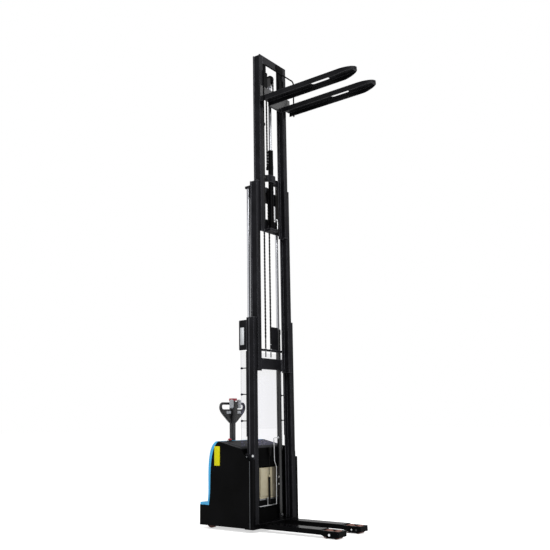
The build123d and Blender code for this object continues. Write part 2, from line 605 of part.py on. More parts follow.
# Middle mast: rails, top beam with the cylinder ears and sheave brackets, lower beam
middle_rail = rail(MIDDLE_HALF, STAGE_FLANGE, STAGE_LIP, MIDDLE_Y, (MIDDLE_Z, MIDDLE_TOP))
pad_y = (MIDDLE_Y + FLANGE, MIDDLE_Y + RAIL_DEPTH - FLANGE)
pad_x = (INNER_HALF + SIDE_GAP, MIDDLE_HALF - STAGE_LIP - WEB + 1)
middle_rail += block(pad_x, pad_y, (MIDDLE_TOP - PAD_HEIGHT - PAD_DROP, MIDDLE_TOP - PAD_DROP))
MIDDLE_ROLLER_Y = OUTER_Y + RAIL_DEPTH / 2
MIDDLE_ROLLER_Z = MIDDLE_Z + ROLLER_RISE
MIDDLE_ROLLER_X = (MIDDLE_HALF + NEST_GAP, OUTER_HALF - WEB - SIDE_GAP)
pin_x = (MIDDLE_HALF - STAGE_LIP - 1, MIDDLE_ROLLER_X[1] - 1)
middle_rail += bar_x(ROLLER_PIN, pin_x, MIDDLE_ROLLER_Y, MIDDLE_ROLLER_Z)
save("middle_rails", pair(middle_rail))
save("middle_rollers", pair(roller(MIDDLE_ROLLER_X, MIDDLE_ROLLER_Y, MIDDLE_ROLLER_Z)))
BEAM_HALF = OUTER_TIP - 6
BEAM_BACK = MIDDLE_REAR + 9


def middle_beam(z):
    """Cross beam standing off the middle rails on end pads."""
    beam = block((-BEAM_HALF, BEAM_HALF), (BEAM_BACK, BEAM_BACK + 15), z)
    end = block((MIDDLE_TIP + 2, BEAM_HALF), (MIDDLE_REAR, BEAM_BACK + 1), z)
    return beam + end + other_side(end)


MAIN_SHEAVE_Z = MIDDLE_TOP - 50
TOP_BEAM_Z = (MIDDLE_TOP - TOP_BEAM[0], MIDDLE_TOP - TOP_BEAM[1])
SHEAVE_X = (CHAIN_X - SHEAVE_WIDTH / 2, CHAIN_X + SHEAVE_WIDTH / 2)
top_beam = middle_beam(TOP_BEAM_Z)
ear = block((MAIN_X - 25, MAIN_X + 25), (BEAM_BACK + 14, MAIN_Y + 27), EAR_Z)
cheek_x = (SHEAVE_X[1] + 1, SHEAVE_X[1] + 9)
bracket = block(cheek_x, (MAIN_SHEAVE_Y - 16, BEAM_BACK + 1), (MAIN_SHEAVE_Z - 30, MAIN_SHEAVE_Z + 18))
bracket += bar_x(SHEAVE_PIN, (SHEAVE_X[0] - 1, cheek_x[1]), MAIN_SHEAVE_Y, MAIN_SHEAVE_Z)
for extra in (ear, bracket):
    top_beam += extra
    top_beam += other_side(extra)
save("middle_top_beam", top_beam)
save("middle_lower_beam", middle_beam((MIDDLE_Z + MIDDLE_BEAM[0], MIDDLE_Z + MIDDLE_BEAM[1])))
save("main_sheaves", pair(sheave(MAIN_PITCH, SHEAVE_X, MAIN_SHEAVE_Y, MAIN_SHEAVE_Z)))

# Inner mast: rails, top beam in front, lower beam behind with the foot of the free-lift cylinder
inner_rail = rail(INNER_HALF, STAGE_FLANGE, STAGE_LIP, MAST_Y, (INNER_Z, INNER_TOP))
INNER_ROLLER_Y = MIDDLE_Y + RAIL_DEPTH / 2
INNER_ROLLER_Z = INNER_Z + ROLLER_RISE
INNER_ROLLER_X = (INNER_HALF + NEST_GAP - 1, MIDDLE_HALF - STAGE_LIP - WEB - SIDE_GAP)
pin_x = (INNER_HALF - STAGE_LIP - 1, INNER_ROLLER_X[1] - 1)
inner_rail += bar_x(ROLLER_PIN, pin_x, INNER_ROLLER_Y, INNER_ROLLER_Z)
save("inner_rails", pair(inner_rail))
save("inner_rollers", pair(roller(INNER_ROLLER_X, INNER_ROLLER_Y, INNER_ROLLER_Z)))
top_depth = INNER_TOP_BEAM[1]
top_wall = INNER_TOP_BEAM[2]
inner_top_z = (INNER_TOP - INNER_TOP_BEAM[0], INNER_TOP)
inner_top = block((-INNER_TIP, INNER_TIP), (MAST_Y, MAST_Y + top_depth), inner_top_z)
recess_z = (inner_top_z[0] - 1, INNER_TOP - top_wall)
inner_top -= block((-INNER_TIP, INNER_TIP), (MAST_Y + top_wall, MAST_Y + top_depth + 1), recess_z)
save("inner_top_beam", inner_top)
LOWER_Z = (INNER_Z + INNER_BEAM[0], INNER_Z + INNER_BEAM[1])
LOWER_HALF = MIDDLE_TIP - NEST_GAP
FOOT_Z = (LOWER_Z[0], LOWER_Z[0] + 30)
lower_beam = block((-LOWER_HALF, LOWER_HALF), (INNER_REAR, INNER_REAR + 10), LOWER_Z)
lower_beam += block((-CHAIN_X - 14, CHAIN_X + 14), (FREE_Y - 38, INNER_REAR + 1), FOOT_Z)
for side in (-1, 1):
    lower_beam += bar_z(5, side * CHAIN_X, MAIN_SHEAVE_Y - MAIN_PITCH, (FOOT_Z[0] - 20, FOOT_Z[1] + 40))
save("inner_lower_beam", lower_beam)

# Free-lift cylinder on the inner mast, with its collar lug, and the stay that holds its upper half
FREE_SHEAVE_Z = INNER_TOP - FREE_SHEAVE_DROP
HEAD_Z = FREE_SHEAVE_Z - CROSSHEAD
FREE_TOP = HEAD_Z - FREE_LIFT / 2 - 6
COLLAR_Z = FREE_TOP - COLLAR_DROP
FREE_CHAIN_REAR = FREE_Y + FREE_PITCH
free_barrel = bar_z(FREE_BARREL, 0, FREE_Y, (FOOT_Z[1], FREE_TOP))
collar_z = (COLLAR_Z, COLLAR_Z + COLLAR)
free_barrel += bar_z(FREE_BARREL + 2, 0, FREE_Y, collar_z)
free_barrel += block((-12, 12), (FREE_Y + FREE_BARREL - 8, FREE_CHAIN_REAR + 8), collar_z)
free_barrel -= bar_z(FREE_BARREL - FREE_WALL, 0, FREE_Y, (FOOT_Z[1] + 20, FREE_TOP - FREE_GLAND))
free_barrel -= bar_z(FREE_ROD + RUN_FIT, 0, FREE_Y, (FREE_TOP - FREE_GLAND - 1, FREE_TOP + 1))
save("free_lift_cylinder", free_barrel)
STAY_Z = (FREE_TOP - STAY_DROP, FREE_TOP - STAY_DROP + STAY_HEIGHT)
STAY = 9.0
STAY_BAND = 34.0
STAY_KNEE = 62.0
STAY_ELBOW = 100.0
stay_y = INNER_REAR - FLANGE + 2
band_y = FREE_Y - FREE_BARREL - STAY
stay_line = [
    (INNER_TIP, stay_y),
    (STAY_ELBOW, stay_y),
    (STAY_KNEE, band_y + 20),
    (STAY_BAND, band_y),
    (STAY_BAND, band_y + STAY),
    (STAY_KNEE + STAY / 2, band_y + 20 + STAY),
    (STAY_ELBOW + STAY / 2, stay_y + STAY),
    (INNER_TIP, stay_y + STAY),
]
half_stay = slab_z(stay_line, STAY_Z)
stay = half_stay + other_side(half_stay)
stay += block((-STAY_BAND, STAY_BAND), (band_y, band_y + STAY), STAY_Z)
save("cylinder_stay", stay)

# Free-lift rod with its crosshead, and the sheave that lifts the carriage by chain
free_piston = FREE_TOP - FREE_GLAND - 8
FREE_SHEAVE_X = (-SHEAVE_WIDTH / 2, SHEAVE_WIDTH / 2)
free_rod = bar_z(FREE_ROD, 0, FREE_Y, (free_piston - 40, HEAD_Z + 1))
free_rod += bar_z(FREE_BARREL - FREE_WALL - PISTON_GAP, 0, FREE_Y, (free_piston - 40, free_piston))
free_rod += block((-20, 20), (FREE_Y - 26, FREE_Y + 26), (HEAD_Z, HEAD_Z + 26))
for side in (-1, 1):
    cheek = sorted((side * (FREE_SHEAVE_X[1] + 1), side * (FREE_SHEAVE_X[1] + 9)))
    free_rod += block(cheek, (FREE_Y - 26, FREE_Y + 26), (HEAD_Z, FREE_SHEAVE_Z + 20))
free_rod += bar_x(SHEAVE_PIN, (-FREE_SHEAVE_X[1] - 9, FREE_SHEAVE_X[1] + 9), FREE_Y, FREE_SHEAVE_Z)
save("free_lift_rod", free_rod)
save("free_sheave", sheave(FREE_PITCH, FREE_SHEAVE_X, FREE_Y, FREE_SHEAVE_Z))

# Fork carriage: face plate, apron between the forks, roller cheeks with guide shoes, chain lug
PLATE_Y = (FACE_Y, FACE_Y + CARRIAGE_PLATE)
FORK_HALF = FORKS_WIDTH / 2
FORK_X = (FORK_HALF - FORK_WIDTH, FORK_HALF)
FORK_MID = (FORK_X[0] + FORK_X[1]) / 2
CHEEK_X = (INNER_TIP - 4 - CHEEK, INNER_TIP - 4)
CHEEK_Z = (FORK_TOP, FORK_TOP + CHEEK_HEIGHT)
CARRIAGE_ROLLER_Y = MAST_Y + RAIL_DEPTH / 2
CARRIAGE_ROLLER_Z = CHEEK_Z[0] + ROLLER_RISE
CARRIAGE_ROLLER_X = (INNER_TIP + NEST_GAP, INNER_HALF - STAGE_LIP - WEB - SIDE_GAP)
LUG_Z = (FORK_TOP + 70, FORK_TOP + 104)
FREE_CHAIN_FRONT = FREE_Y - FREE_PITCH
carriage = block((-FORK_HALF, FORK_HALF), PLATE_Y, (FORK_TOP - FORK_WALL, FORK_TOP + CARRIAGE_RISE))
carriage += block((-FORK_X[0] - APRON_LAP, FORK_X[0] + APRON_LAP), PLATE_Y, (FORK_BOTTOM, FORK_TOP))
carriage += block((-18, 18), (PLATE_Y[1] - 1, FREE_CHAIN_FRONT + 8), LUG_Z)
cheek = block(CHEEK_X, (PLATE_Y[1] - 1, CARRIAGE_ROLLER_Y + 16), CHEEK_Z)
cheek = fillet(cheek.edges().filter_by(Axis.X).group_by(Axis.Z)[-1], 14)
flange_y = (MAST_Y - CHEEK_FLANGE[1] / 2, MAST_Y + CHEEK_FLANGE[1] / 2)
flange_z = (FORK_TOP + CARRIAGE_RISE, CHEEK_Z[1] - 14)
cheek += block((CHEEK_X[0] - CHEEK_FLANGE[0], CHEEK_X[0] + 1), flange_y, flange_z)
cheek += bar_x(ROLLER_PIN, (CHEEK_X[1] - 1, CARRIAGE_ROLLER_X[1] - 1), CARRIAGE_ROLLER_Y, CARRIAGE_ROLLER_Z)
shoe_y = (MAST_Y + FLANGE + 1, MAST_Y + RAIL_DEPTH - FLANGE - 1)
cheek += block((CHEEK_X[1] - 1, CARRIAGE_ROLLER_X[1]), shoe_y, (CHEEK_Z[1] - 80, CHEEK_Z[1] - 30))
carriage += cheek
carriage += other_side(cheek)
save("carriage", carriage)
save("carriage_rollers", pair(roller(CARRIAGE_ROLLER_X, CARRIAGE_ROLLER_Y, CARRIAGE_ROLLER_Z)))


def fork_body(wall):
    """Fork outline drawn in by a wall: straight shank and a tip that is round in plan and thins in height."""
    tip = FACE_Y - FORK_LENGTH + wall
    neck = FACE_Y - FORK_LENGTH + FORK_TIP_TAPER
    half = FORK_WIDTH / 2 - wall
    heel = FACE_Y + wall
    sides = (FORK_MID - half, FORK_MID + half)
    plan = Polyline((sides[0], neck), (sides[0], heel), (sides[1], heel), (sides[1], neck))
    plan += EllipticalCenterArc((FORK_MID, neck), half, neck - tip, start_angle=180, arc_size=180)
    low = FORK_BOTTOM - wall
    side = [
        (heel, FORK_TOP - wall),
        (tip, FORK_TOP - wall),
        (tip, FORK_TOP - FORK_HEIGHT / 2),
        (neck, low),
        (heel, low),
    ]
    body = Pos(0, 0, low - 1) * extrude(make_face(plan), FORK_HEIGHT + wall + 2)
    return body & slab_x(side, (FORK_X[0] - 1, FORK_X[1] + 1))


# Forks: inverted channels with a long slot in the top plate
slot_y = (FACE_Y - FORK_SLOT_START - FORK_SLOT_LENGTH, FACE_Y - FORK_SLOT_START)
slot_x = (FORK_MID - FORK_SLOT_WIDTH / 2, FORK_MID + FORK_SLOT_WIDTH / 2)
fork = fork_body(0) - fork_body(FORK_WALL)
slot = block(slot_x, slot_y, (FORK_TOP - FORK_WALL - 1, FORK_TOP + 1))
fork -= fillet(slot.edges().filter_by(Axis.Z), FORK_SLOT_ROUND)
save("fork_left", fork)
save("fork_right", other_side(fork))

# Load backrest: round-bar hoop with flats where its legs meet the forks
HOOP_X = FORK_HALF + BACKREST_BAR - BACKREST_FLAT
HOOP_Y = FACE_Y - BACKREST_REACH
HOOP_Z = (FORK_BOTTOM - 11, FORK_TOP + BACKREST_RISE)
hoop_line = FilletPolyline(
    (-HOOP_X, HOOP_Y, HOOP_Z[0]),
    (-HOOP_X, HOOP_Y, HOOP_Z[1]),
    (HOOP_X, HOOP_Y, HOOP_Z[1]),
    (HOOP_X, HOOP_Y, HOOP_Z[0]),
    radius=BACKREST_BEND,
)
hoop = sweep(Pos(-HOOP_X, HOOP_Y, HOOP_Z[0]) * Circle(BACKREST_BAR), path=hoop_line)
weld_y = (HOOP_Y - 2 * BACKREST_BAR, HOOP_Y + 2 * BACKREST_BAR)
hoop -= block((-FORK_HALF, FORK_HALF), weld_y, (HOOP_Z[0] - 1, FORK_TOP + 8))
save("load_backrest", hoop)

# Chains, each over its sheave
lift_chain = chain(
    MAIN_PITCH,
    CHAIN_X,
    MAIN_SHEAVE_Y,
    MAIN_SHEAVE_Z,
    ANCHOR_TOP,
    FOOT_Z[1] + 40,
)
save("lift_chains", pair(lift_chain))
free_chain = chain(FREE_PITCH, 0, FREE_Y, FREE_SHEAVE_Z, COLLAR_Z + COLLAR, LUG_Z[1])
save("free_lift_chain", free_chain)

# Clear guard behind the mast, on knobbed standoffs, and the plate beside the mast top
SIDE_PLATE_Z = (OUTER_TOP - SIDE_PLATE_DROP - SIDE_PLATE_HEIGHT, OUTER_TOP - SIDE_PLATE_DROP)
GUARD_Z = (GUARD_BOTTOM, SIDE_PLATE_Z[0] - 9)
GUARD_HALF = OUTER_HALF + GUARD_OVERHANG
guard = block((-GUARD_HALF, GUARD_HALF), (GUARD_Y - GUARD_THICK, GUARD_Y), GUARD_Z)
save("mast_guard", fillet(guard.edges().filter_by(Axis.Y), 20))
STANDOFF_X = OUTER_HALF - 12
standoffs = []
STANDOFF_Z = (GUARD_Z[0] + STANDOFF_LOW, GUARD_Z[1] - STANDOFF_HIGH)
for standoff_z in (STANDOFF_Z[0], sum(STANDOFF_Z) / 2, STANDOFF_Z[1]):
    post = bar_y(9, STANDOFF_X, (OUTER_REAR, GUARD_Y - GUARD_THICK), standoff_z)
    knob = bar_y(15, STANDOFF_X, (GUARD_Y, GUARD_Y + 14), standoff_z)
    standoffs += [*post.solids(), *knob.solids()]
    standoffs += [*other_side(post).solids(), *other_side(knob).solids()]
save("guard_standoffs", Compound(children=standoffs))
plate_y = (OUTER_REAR, OUTER_REAR + 103)
side_plate = block((-OUTER_HALF, -OUTER_HALF + 6), plate_y, SIDE_PLATE_Z)
side_plate = fillet(side_plate.edges().filter_by(Axis.X).group_by(Axis.Y)[-1], 10)
save("mast_side_plate", side_plate)

# Steel hydraulic pipe from the valve block up to the cylinder on the left
PIPE_X = MAIN_X - MAIN_BARREL - 20
PIPE_Y = BULK_Y - 20
PIPE_HIGH = COWL_TOP + 30
pipe_line = FilletPolyline(
    (PIPE_START, INSIDE_Y + 20, PIPE_LOW),
    (PIPE_START, PIPE_Y, PIPE_LOW),
    (PIPE_X, PIPE_Y, PIPE_LOW),
    (PIPE_X, PIPE_Y, PIPE_HIGH),
    (MAIN_X, MAIN_Y, PIPE_HIGH),
    radius=14,
)
pipe = sweep(Pos(PIPE_START, INSIDE_Y + 20, PIPE_LOW) * Rot(90, 0, 0) * Circle(PIPE), path=pipe_line)
pipe -= bar_z(MAIN_BARREL, MAIN_X, MAIN_Y, (FLOOR, MAIN_TOP))
save("hydraulic_pipe", pipe)

# Drive: steered yoke with the tiller's clevis, hub motor and drive wheel
ARM_X = (DRIVE_WIDTH / 2 + 5, DRIVE_WIDTH / 2 + 17)
YOKE_Z = (DECK_Z[0] - YOKE_PLATE - SEAT_GAP, DECK_Z[0] - SEAT_GAP)
EAR_X = (25.0, 40.0)
yoke = bar_z(YOKE_RADIUS, 0, STEER_Y, YOKE_Z)
yoke += bar_z(NECK_RADIUS, 0, STEER_Y, (YOKE_Z[1] - 1, TILLER_PIVOT - 40))
arm = block(ARM_X, (STEER_Y - 30, STEER_Y + 30), (DRIVE_RADIUS - 30, YOKE_Z[0] + 1))
arm -= bar_x(HUB_SHAFT, (ARM_X[0] - 1, ARM_X[1] + 1), STEER_Y, DRIVE_RADIUS)
clevis = block(EAR_X, (STEER_Y - 26, STEER_Y + 26), (TILLER_PIVOT - 41, TILLER_PIVOT))
clevis += bar_x(26, EAR_X, STEER_Y, TILLER_PIVOT)
for extra in (arm, clevis):
    yoke += extra
    yoke += other_side(extra)
yoke += bar_x(FOLD_PIN, (-EAR_X[1], EAR_X[1]), STEER_Y, TILLER_PIVOT)
save("drive_yoke", yoke)
hub = bar_x(HUB_RADIUS, (-DRIVE_WIDTH / 2 - 1, DRIVE_WIDTH / 2 + 1), STEER_Y, DRIVE_RADIUS)
hub += bar_x(HUB_SHAFT, (-ARM_X[1], ARM_X[1]), STEER_Y, DRIVE_RADIUS)
save("hub_motor", hub)
drive_wheel = bar_x(DRIVE_RADIUS, (-DRIVE_WIDTH / 2, DRIVE_WIDTH / 2), STEER_Y, DRIVE_RADIUS)
drive_wheel = fillet(drive_wheel.edges().filter_by(GeomType.CIRCLE), 6)
drive_wheel -= bar_x(HUB_RADIUS + RUN_FIT, (-DRIVE_WIDTH / 2, DRIVE_WIDTH / 2), STEER_Y, DRIVE_RADIUS)
save("drive_wheel", drive_wheel)

# Castors: swivel fork with its pin and axle, and the wheel
FORK_IN = CASTOR_WIDTH / 2 + 3
WHEEL_Y = CASTOR_Y + CASTOR_TRAIL
CROWN_Z = (CASTOR_DECK - 10 - SEAT_GAP, CASTOR_DECK - SEAT_GAP)
castor = bar_z(CASTOR_PIN, CASTOR_X, CASTOR_Y, (CROWN_Z[1] - 1, CASTOR_DECK + PLATE + 8))
cap_z = (CASTOR_DECK + PLATE + SEAT_GAP, CASTOR_DECK + PLATE + 12)
castor += bar_z(CASTOR_PIN + 8, CASTOR_X, CASTOR_Y, cap_z)
crown_x = (CASTOR_X - FORK_IN - 6, CASTOR_X + FORK_IN + 6)
castor += block(crown_x, (CASTOR_Y - 36, CASTOR_Y + 40), CROWN_Z)
castor_side = [
    (CASTOR_Y - 36, CROWN_Z[1]),
    (CASTOR_Y + 40, CROWN_Z[1]),
    (WHEEL_Y + 18, CASTOR_RADIUS),
    (WHEEL_Y + 10, CASTOR_RADIUS - 18),
    (WHEEL_Y - 10, CASTOR_RADIUS - 18),
    (WHEEL_Y - 18, CASTOR_RADIUS),
]
for side in (-1, 1):
    plate_x = sorted((CASTOR_X + side * FORK_IN, CASTOR_X + side * (FORK_IN + 6)))
    castor += slab_x(castor_side, plate_x)
castor += bar_x(CASTOR_AXLE, crown_x, WHEEL_Y, CASTOR_RADIUS)
save("castor_fork_left", castor)
save("castor_fork_right", other_side(castor))
castor_x = (CASTOR_X - CASTOR_WIDTH / 2, CASTOR_X + CASTOR_WIDTH / 2)
castor_wheel = bar_x(CASTOR_RADIUS, castor_x, WHEEL_Y, CASTOR_RADIUS)
castor_wheel = fillet(castor_wheel.edges().filter_by(GeomType.CIRCLE), 8)
castor_wheel -= bar_x(CASTOR_AXLE + RUN_FIT, castor_x, WHEEL_Y, CASTOR_RADIUS)
save("castor_wheel_left", castor_wheel)
save("castor_wheel_right", other_side(castor_wheel))

# Tiller arm: blade in the clevis and a box-section stem up to the head
BLADE_X = (-EAR_X[0] + 1, EAR_X[0] - 1)
blade = block(BLADE_X, (STEER_Y - 20, STEER_Y + 20), (TILLER_PIVOT, TILLER_PIVOT + 90))
blade += bar_x(24, BLADE_X, STEER_Y, TILLER_PIVOT)
STEM_FOOT = TILLER_PIVOT + 76
stem_plan = Pos(0, STEER_Y, STEM_FOOT) * RectangleRounded(*TILLER_STEM)
tiller_arm = blade + extrude(stem_plan, HEAD_BOTTOM - STEM_FOOT)
tiller_arm -= bar_x(FOLD_PIN + RUN_FIT, (-EAR_X[0], EAR_X[0]), STEER_Y, TILLER_PIVOT)
save("tiller_arm", tiller_arm)

# Tiller head: heart-shaped frame with two grip loops around a central column
HEAD_Y = (STEER_Y - HEAD_THICK / 2, STEER_Y + HEAD_THICK / 2)
HEAD_HALF = HEAD_WIDTH / 2
CROWN = HEAD_BOTTOM + HEAD_HEIGHT
LOOP_Z = (CROWN - GRIP_BAR - LOOP_HEIGHT, CROWN - GRIP_BAR)
LOOP_HALF = HEAD_HALF - GRIP_BAR
COLUMN_Y = (STEER_Y - COLUMN_FRONT, STEER_Y + COLUMN_BACK)
COLUMN_TOP = CROWN + 8
NECK_HALF = TILLER_STEM[0] / 2
outline = Polyline((0, CROWN), (0, HEAD_BOTTOM), (NECK_HALF, HEAD_BOTTOM))
outline += Spline(
    (NECK_HALF, HEAD_BOTTOM),
    (HEAD_HALF - 96, HEAD_BOTTOM + 60),
    (HEAD_HALF - 42, HEAD_BOTTOM + 104),
    (HEAD_HALF, CROWN - 60),
    (HEAD_HALF - 52, CROWN),
    tangents=[(1, 0.45), (-1, 0)],
)
outline += Line((HEAD_HALF - 52, CROWN), (0, CROWN))
half_head = Pos(0, HEAD_Y[1], 0) * extrude(Plane.XZ * make_face(outline), HEAD_THICK)
loop = Polyline((LOOP_HALF - 24, LOOP_Z[1]), (0, LOOP_Z[1]), (0, LOOP_Z[0]), (LOOP_HALF - 22, LOOP_Z[0]))
loop += Spline(
    (LOOP_HALF - 22, LOOP_Z[0]),
    (LOOP_HALF, LOOP_Z[0] + LOOP_HEIGHT / 2),
    (LOOP_HALF - 24, LOOP_Z[1]),
    tangents=[(1, 0.35), (-1, 0)],
)
half_head -= Pos(0, HEAD_Y[1] + 1, 0) * extrude(Plane.XZ * make_face(loop), HEAD_THICK + 2)
head = half_head + other_side(half_head)
rims = head.faces().filter_by(Axis.Y).edges()
head = fillet(rims, HEAD_ROUND)
column_plan = RectangleRounded(2 * COLUMN_HALF, COLUMN_FRONT + COLUMN_BACK, TILLER_STEM[2])
column_mid = (COLUMN_Y[0] + COLUMN_Y[1]) / 2
NECK_TOP = HEAD_BOTTOM + NECK_HEIGHT
neck_plan = Pos(0, STEER_Y, HEAD_BOTTOM) * RectangleRounded(*TILLER_STEM)
column_plan = Pos(0, column_mid, NECK_TOP) * column_plan
column = loft([neck_plan, column_plan])
column += extrude(column_plan, COLUMN_TOP - NECK_TOP)
head += column

# Seats in the head: paddle shaft, belly button stem and the two rockers
PADDLE_Z = CROWN - 19
PADDLE_Y = STEER_Y - PADDLE_FRONT
STEM_X = 25.0
STEM_Y = (STEER_Y - 18, STEER_Y + 10)
ROCKER_Z = HEAD_BOTTOM + ROCKER_PLACE[1]
ROCKER_Y = HEAD_Y[0] + ROCKER_DEPTH / 2
PIN_REACH = ROCKER[1] / 2 + ROCKER_PIN[1]
head -= bar_x(PADDLE_SHAFT + RUN_FIT, (-COLUMN_HALF - 1, COLUMN_HALF + 1), PADDLE_Y, PADDLE_Z)
head -= block((-STEM_X, STEM_X), STEM_Y, (COLUMN_TOP - 28, COLUMN_TOP + 1))
for side in (-1, 1):
    pocket_x = [side * ROCKER_PLACE[0] + end * (ROCKER[0] / 2 + ROCKER_ROOM) for end in (-1, 1)]
    pocket_z = [ROCKER_Z + end * (ROCKER[1] / 2 + SEAT_GAP) for end in (-1, 1)]
    head -= block(pocket_x, (HEAD_Y[0] - 1, HEAD_Y[0] + ROCKER_DEPTH + 8), pocket_z)
    seat_z = (ROCKER_Z - PIN_REACH - SEAT_GAP, ROCKER_Z + PIN_REACH + SEAT_GAP)
    head -= bar_z(ROCKER_PIN[0] + RUN_FIT, side * ROCKER_PLACE[0], ROCKER_Y, seat_z)
save("tiller_head", head)

# Red belly button on its stem
BELLY_Z = COLUMN_TOP + BELLY_TRAVEL + 1
BELLY_MID = STEER_Y - 8
belly_y = (BELLY_MID - BELLY[1] / 2, BELLY_MID + BELLY[1] / 2)
belly = block((-BELLY[0] / 2, BELLY[0] / 2), belly_y, (BELLY_Z, BELLY_Z + BELLY[2]))
belly = fillet(belly.edges().filter_by(Axis.Z), 12)
belly = fillet(belly.edges().group_by(Axis.Z)[-1], 8)
stem_y = (STEM_Y[0] + SEAT_GAP, STEM_Y[1] - SEAT_GAP)
belly += block((-STEM_X + SEAT_GAP, STEM_X - SEAT_GAP), stem_y, (COLUMN_TOP - 18, BELLY_Z + 1))
save("belly_button", belly)

# Thumb paddles: two rounded wings on one shaft through the column
wing_x = COLUMN_HALF + PADDLE_GAP
wing = extrude(SlotOverall(2 * PADDLE[0], 2 * PADDLE[1]), PADDLE[2])
wing = Pos(wing_x, PADDLE_Y, PADDLE_Z) * Rot(0, 90, 0) * fillet(wing.edges(), PADDLE_ROUND)
paddles = bar_x(PADDLE_SHAFT, (-wing_x - 1, wing_x + 1), PADDLE_Y, PADDLE_Z)
paddles += wing
paddles += other_side(wing)
save("thumb_paddles", paddles)

# Lift rockers, one under each loop, on pins that turn in the head
for side, name in ((1, "left"), (-1, "right")):
    rocker_x = [side * ROCKER_PLACE[0] + end * ROCKER[0] / 2 for end in (-1, 1)]
    rocker_z = (ROCKER_Z - ROCKER[1] / 2, ROCKER_Z + ROCKER[1] / 2)
    rocker = block(rocker_x, (HEAD_Y[0] - 6, HEAD_Y[0] + ROCKER_DEPTH), rocker_z)
    rocker = fillet(rocker.edges().group_by(Axis.Y)[0], 4)
    pin_z = (ROCKER_Z - PIN_REACH, ROCKER_Z + PIN_REACH)
    rocker += bar_z(ROCKER_PIN[0], side * ROCKER_PLACE[0], ROCKER_Y, pin_z)
    save(f"lift_rocker_{name}", rocker)
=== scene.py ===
import math
import bmesh
import bpy
from mathutils import Matrix, Vector


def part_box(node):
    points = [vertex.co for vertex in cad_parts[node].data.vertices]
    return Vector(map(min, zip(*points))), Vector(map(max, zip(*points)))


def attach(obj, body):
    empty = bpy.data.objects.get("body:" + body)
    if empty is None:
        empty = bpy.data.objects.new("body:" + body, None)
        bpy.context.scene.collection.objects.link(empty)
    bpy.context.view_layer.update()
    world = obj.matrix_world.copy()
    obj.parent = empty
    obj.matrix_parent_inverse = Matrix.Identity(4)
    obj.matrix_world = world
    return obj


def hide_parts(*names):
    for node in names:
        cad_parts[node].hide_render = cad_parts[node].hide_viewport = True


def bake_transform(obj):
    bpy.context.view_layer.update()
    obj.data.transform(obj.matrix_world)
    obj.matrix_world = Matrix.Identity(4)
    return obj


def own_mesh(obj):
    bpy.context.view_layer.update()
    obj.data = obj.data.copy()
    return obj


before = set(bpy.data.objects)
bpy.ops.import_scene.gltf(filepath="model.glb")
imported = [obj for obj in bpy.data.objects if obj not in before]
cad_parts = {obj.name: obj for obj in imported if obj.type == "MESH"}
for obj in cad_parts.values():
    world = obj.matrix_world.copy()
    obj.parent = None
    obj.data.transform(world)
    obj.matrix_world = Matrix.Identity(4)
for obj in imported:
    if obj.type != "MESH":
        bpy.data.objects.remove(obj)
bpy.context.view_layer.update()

# Base frame and straddle legs: folded steel plate and box section, welded into one frame that carries
# the mast in front and the drive behind. It is shot blasted and powder coated satin black, welds and all.


def linear(hex_colour):
    channels = [int(hex_colour[i:i + 2], 16) / 255 for i in (1, 3, 5)]
    return [c / 12.92 if c <= 0.04045 else ((c + 0.055) / 1.055) ** 2.4 for c in channels] + [1.0]


def add(tree, kind, settings=None, links=None):
    new = tree.nodes.new(kind)
    for name, value in (settings or {}).items():
        if isinstance(name, int) or name in new.inputs:
            new.inputs[name].default_value = value
        else:
            setattr(new, name, value)
    for name, source in (links or {}).items():
        tree.links.new(source, new.inputs[name])
    return new


def blank(name):
    material = bpy.data.materials.new(name)
    material.use_nodes = True
    material.node_tree.nodes.clear()
    return material, material.node_tree


def dress(names, material):
    for name in names:
        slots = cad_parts[name].data.materials
        slots.clear()
        slots.append(material)


def powder(name, thin, thick, highlight, sheen, smooth, rough):
    """Powder coat between two tones, smoother where it flowed thick, paler along its edges in a painted highlight."""
    material, tree = blank(name)
    place = add(tree, "ShaderNodeTexCoord")
    patches = add(tree, "ShaderNodeTexNoise", {"Scale": 1 / 0.160, "Detail": 3.0}, {"Vector": place.outputs["Object"]})
    peel = add(tree, "ShaderNodeTexNoise", {"Scale": 1 / 0.003, "Detail": 1.0}, {"Vector": place.outputs["Object"]})
    tone = add(tree, "ShaderNodeValToRGB", links={"Fac": patches.outputs["Fac"]})
    tone.color_ramp.elements[0].position = 0.3
    tone.color_ramp.elements[0].color = linear(thin)
    tone.color_ramp.elements[1].position = 0.75
    tone.color_ramp.elements[1].color = linear(thick)
    gloss = add(tree, "ShaderNodeMapRange", {"To Min": smooth, "To Max": rough}, {"Value": patches.outputs["Fac"]})
    # Painted highlight: the coat turns to the highlight tone where the bevelled normal leans away from the face, along
    # the edges.
    edge = add(tree, "ShaderNodeBevel", {"samples": 6, "Radius": 0.010})
    surface = add(tree, "ShaderNodeNewGeometry")
    turn = add(tree, "ShaderNodeVectorMath", {"operation": "DOT_PRODUCT"},
               {0: edge.outputs["Normal"], 1: surface.outputs["Normal"]})
    lit_edges = add(tree, "ShaderNodeMapRange", {"From Min": 0.98, "From Max": 0.75}, {"Value": turn.outputs["Value"]})
    paint = add(tree, "ShaderNodeMix", {"data_type": "RGBA", 7: linear(highlight)},
                {0: lit_edges.outputs["Result"], 6: tone.outputs["Color"]})
    bump = add(tree, "ShaderNodeBump", {"Strength": 0.10, "Distance": 0.0004},
               {"Height": peel.outputs["Fac"], "Normal": edge.outputs["Normal"]})
    coat = add(tree, "ShaderNodeBsdfPrincipled", {"IOR": 1.5, "Specular IOR Level": sheen},
               {"Base Color": paint.outputs[2], "Roughness": gloss.outputs["Result"],
                "Normal": bump.outputs["Normal"]})
    add(tree, "ShaderNodeOutputMaterial", links={"Surface": coat.outputs["BSDF"]})
    return material
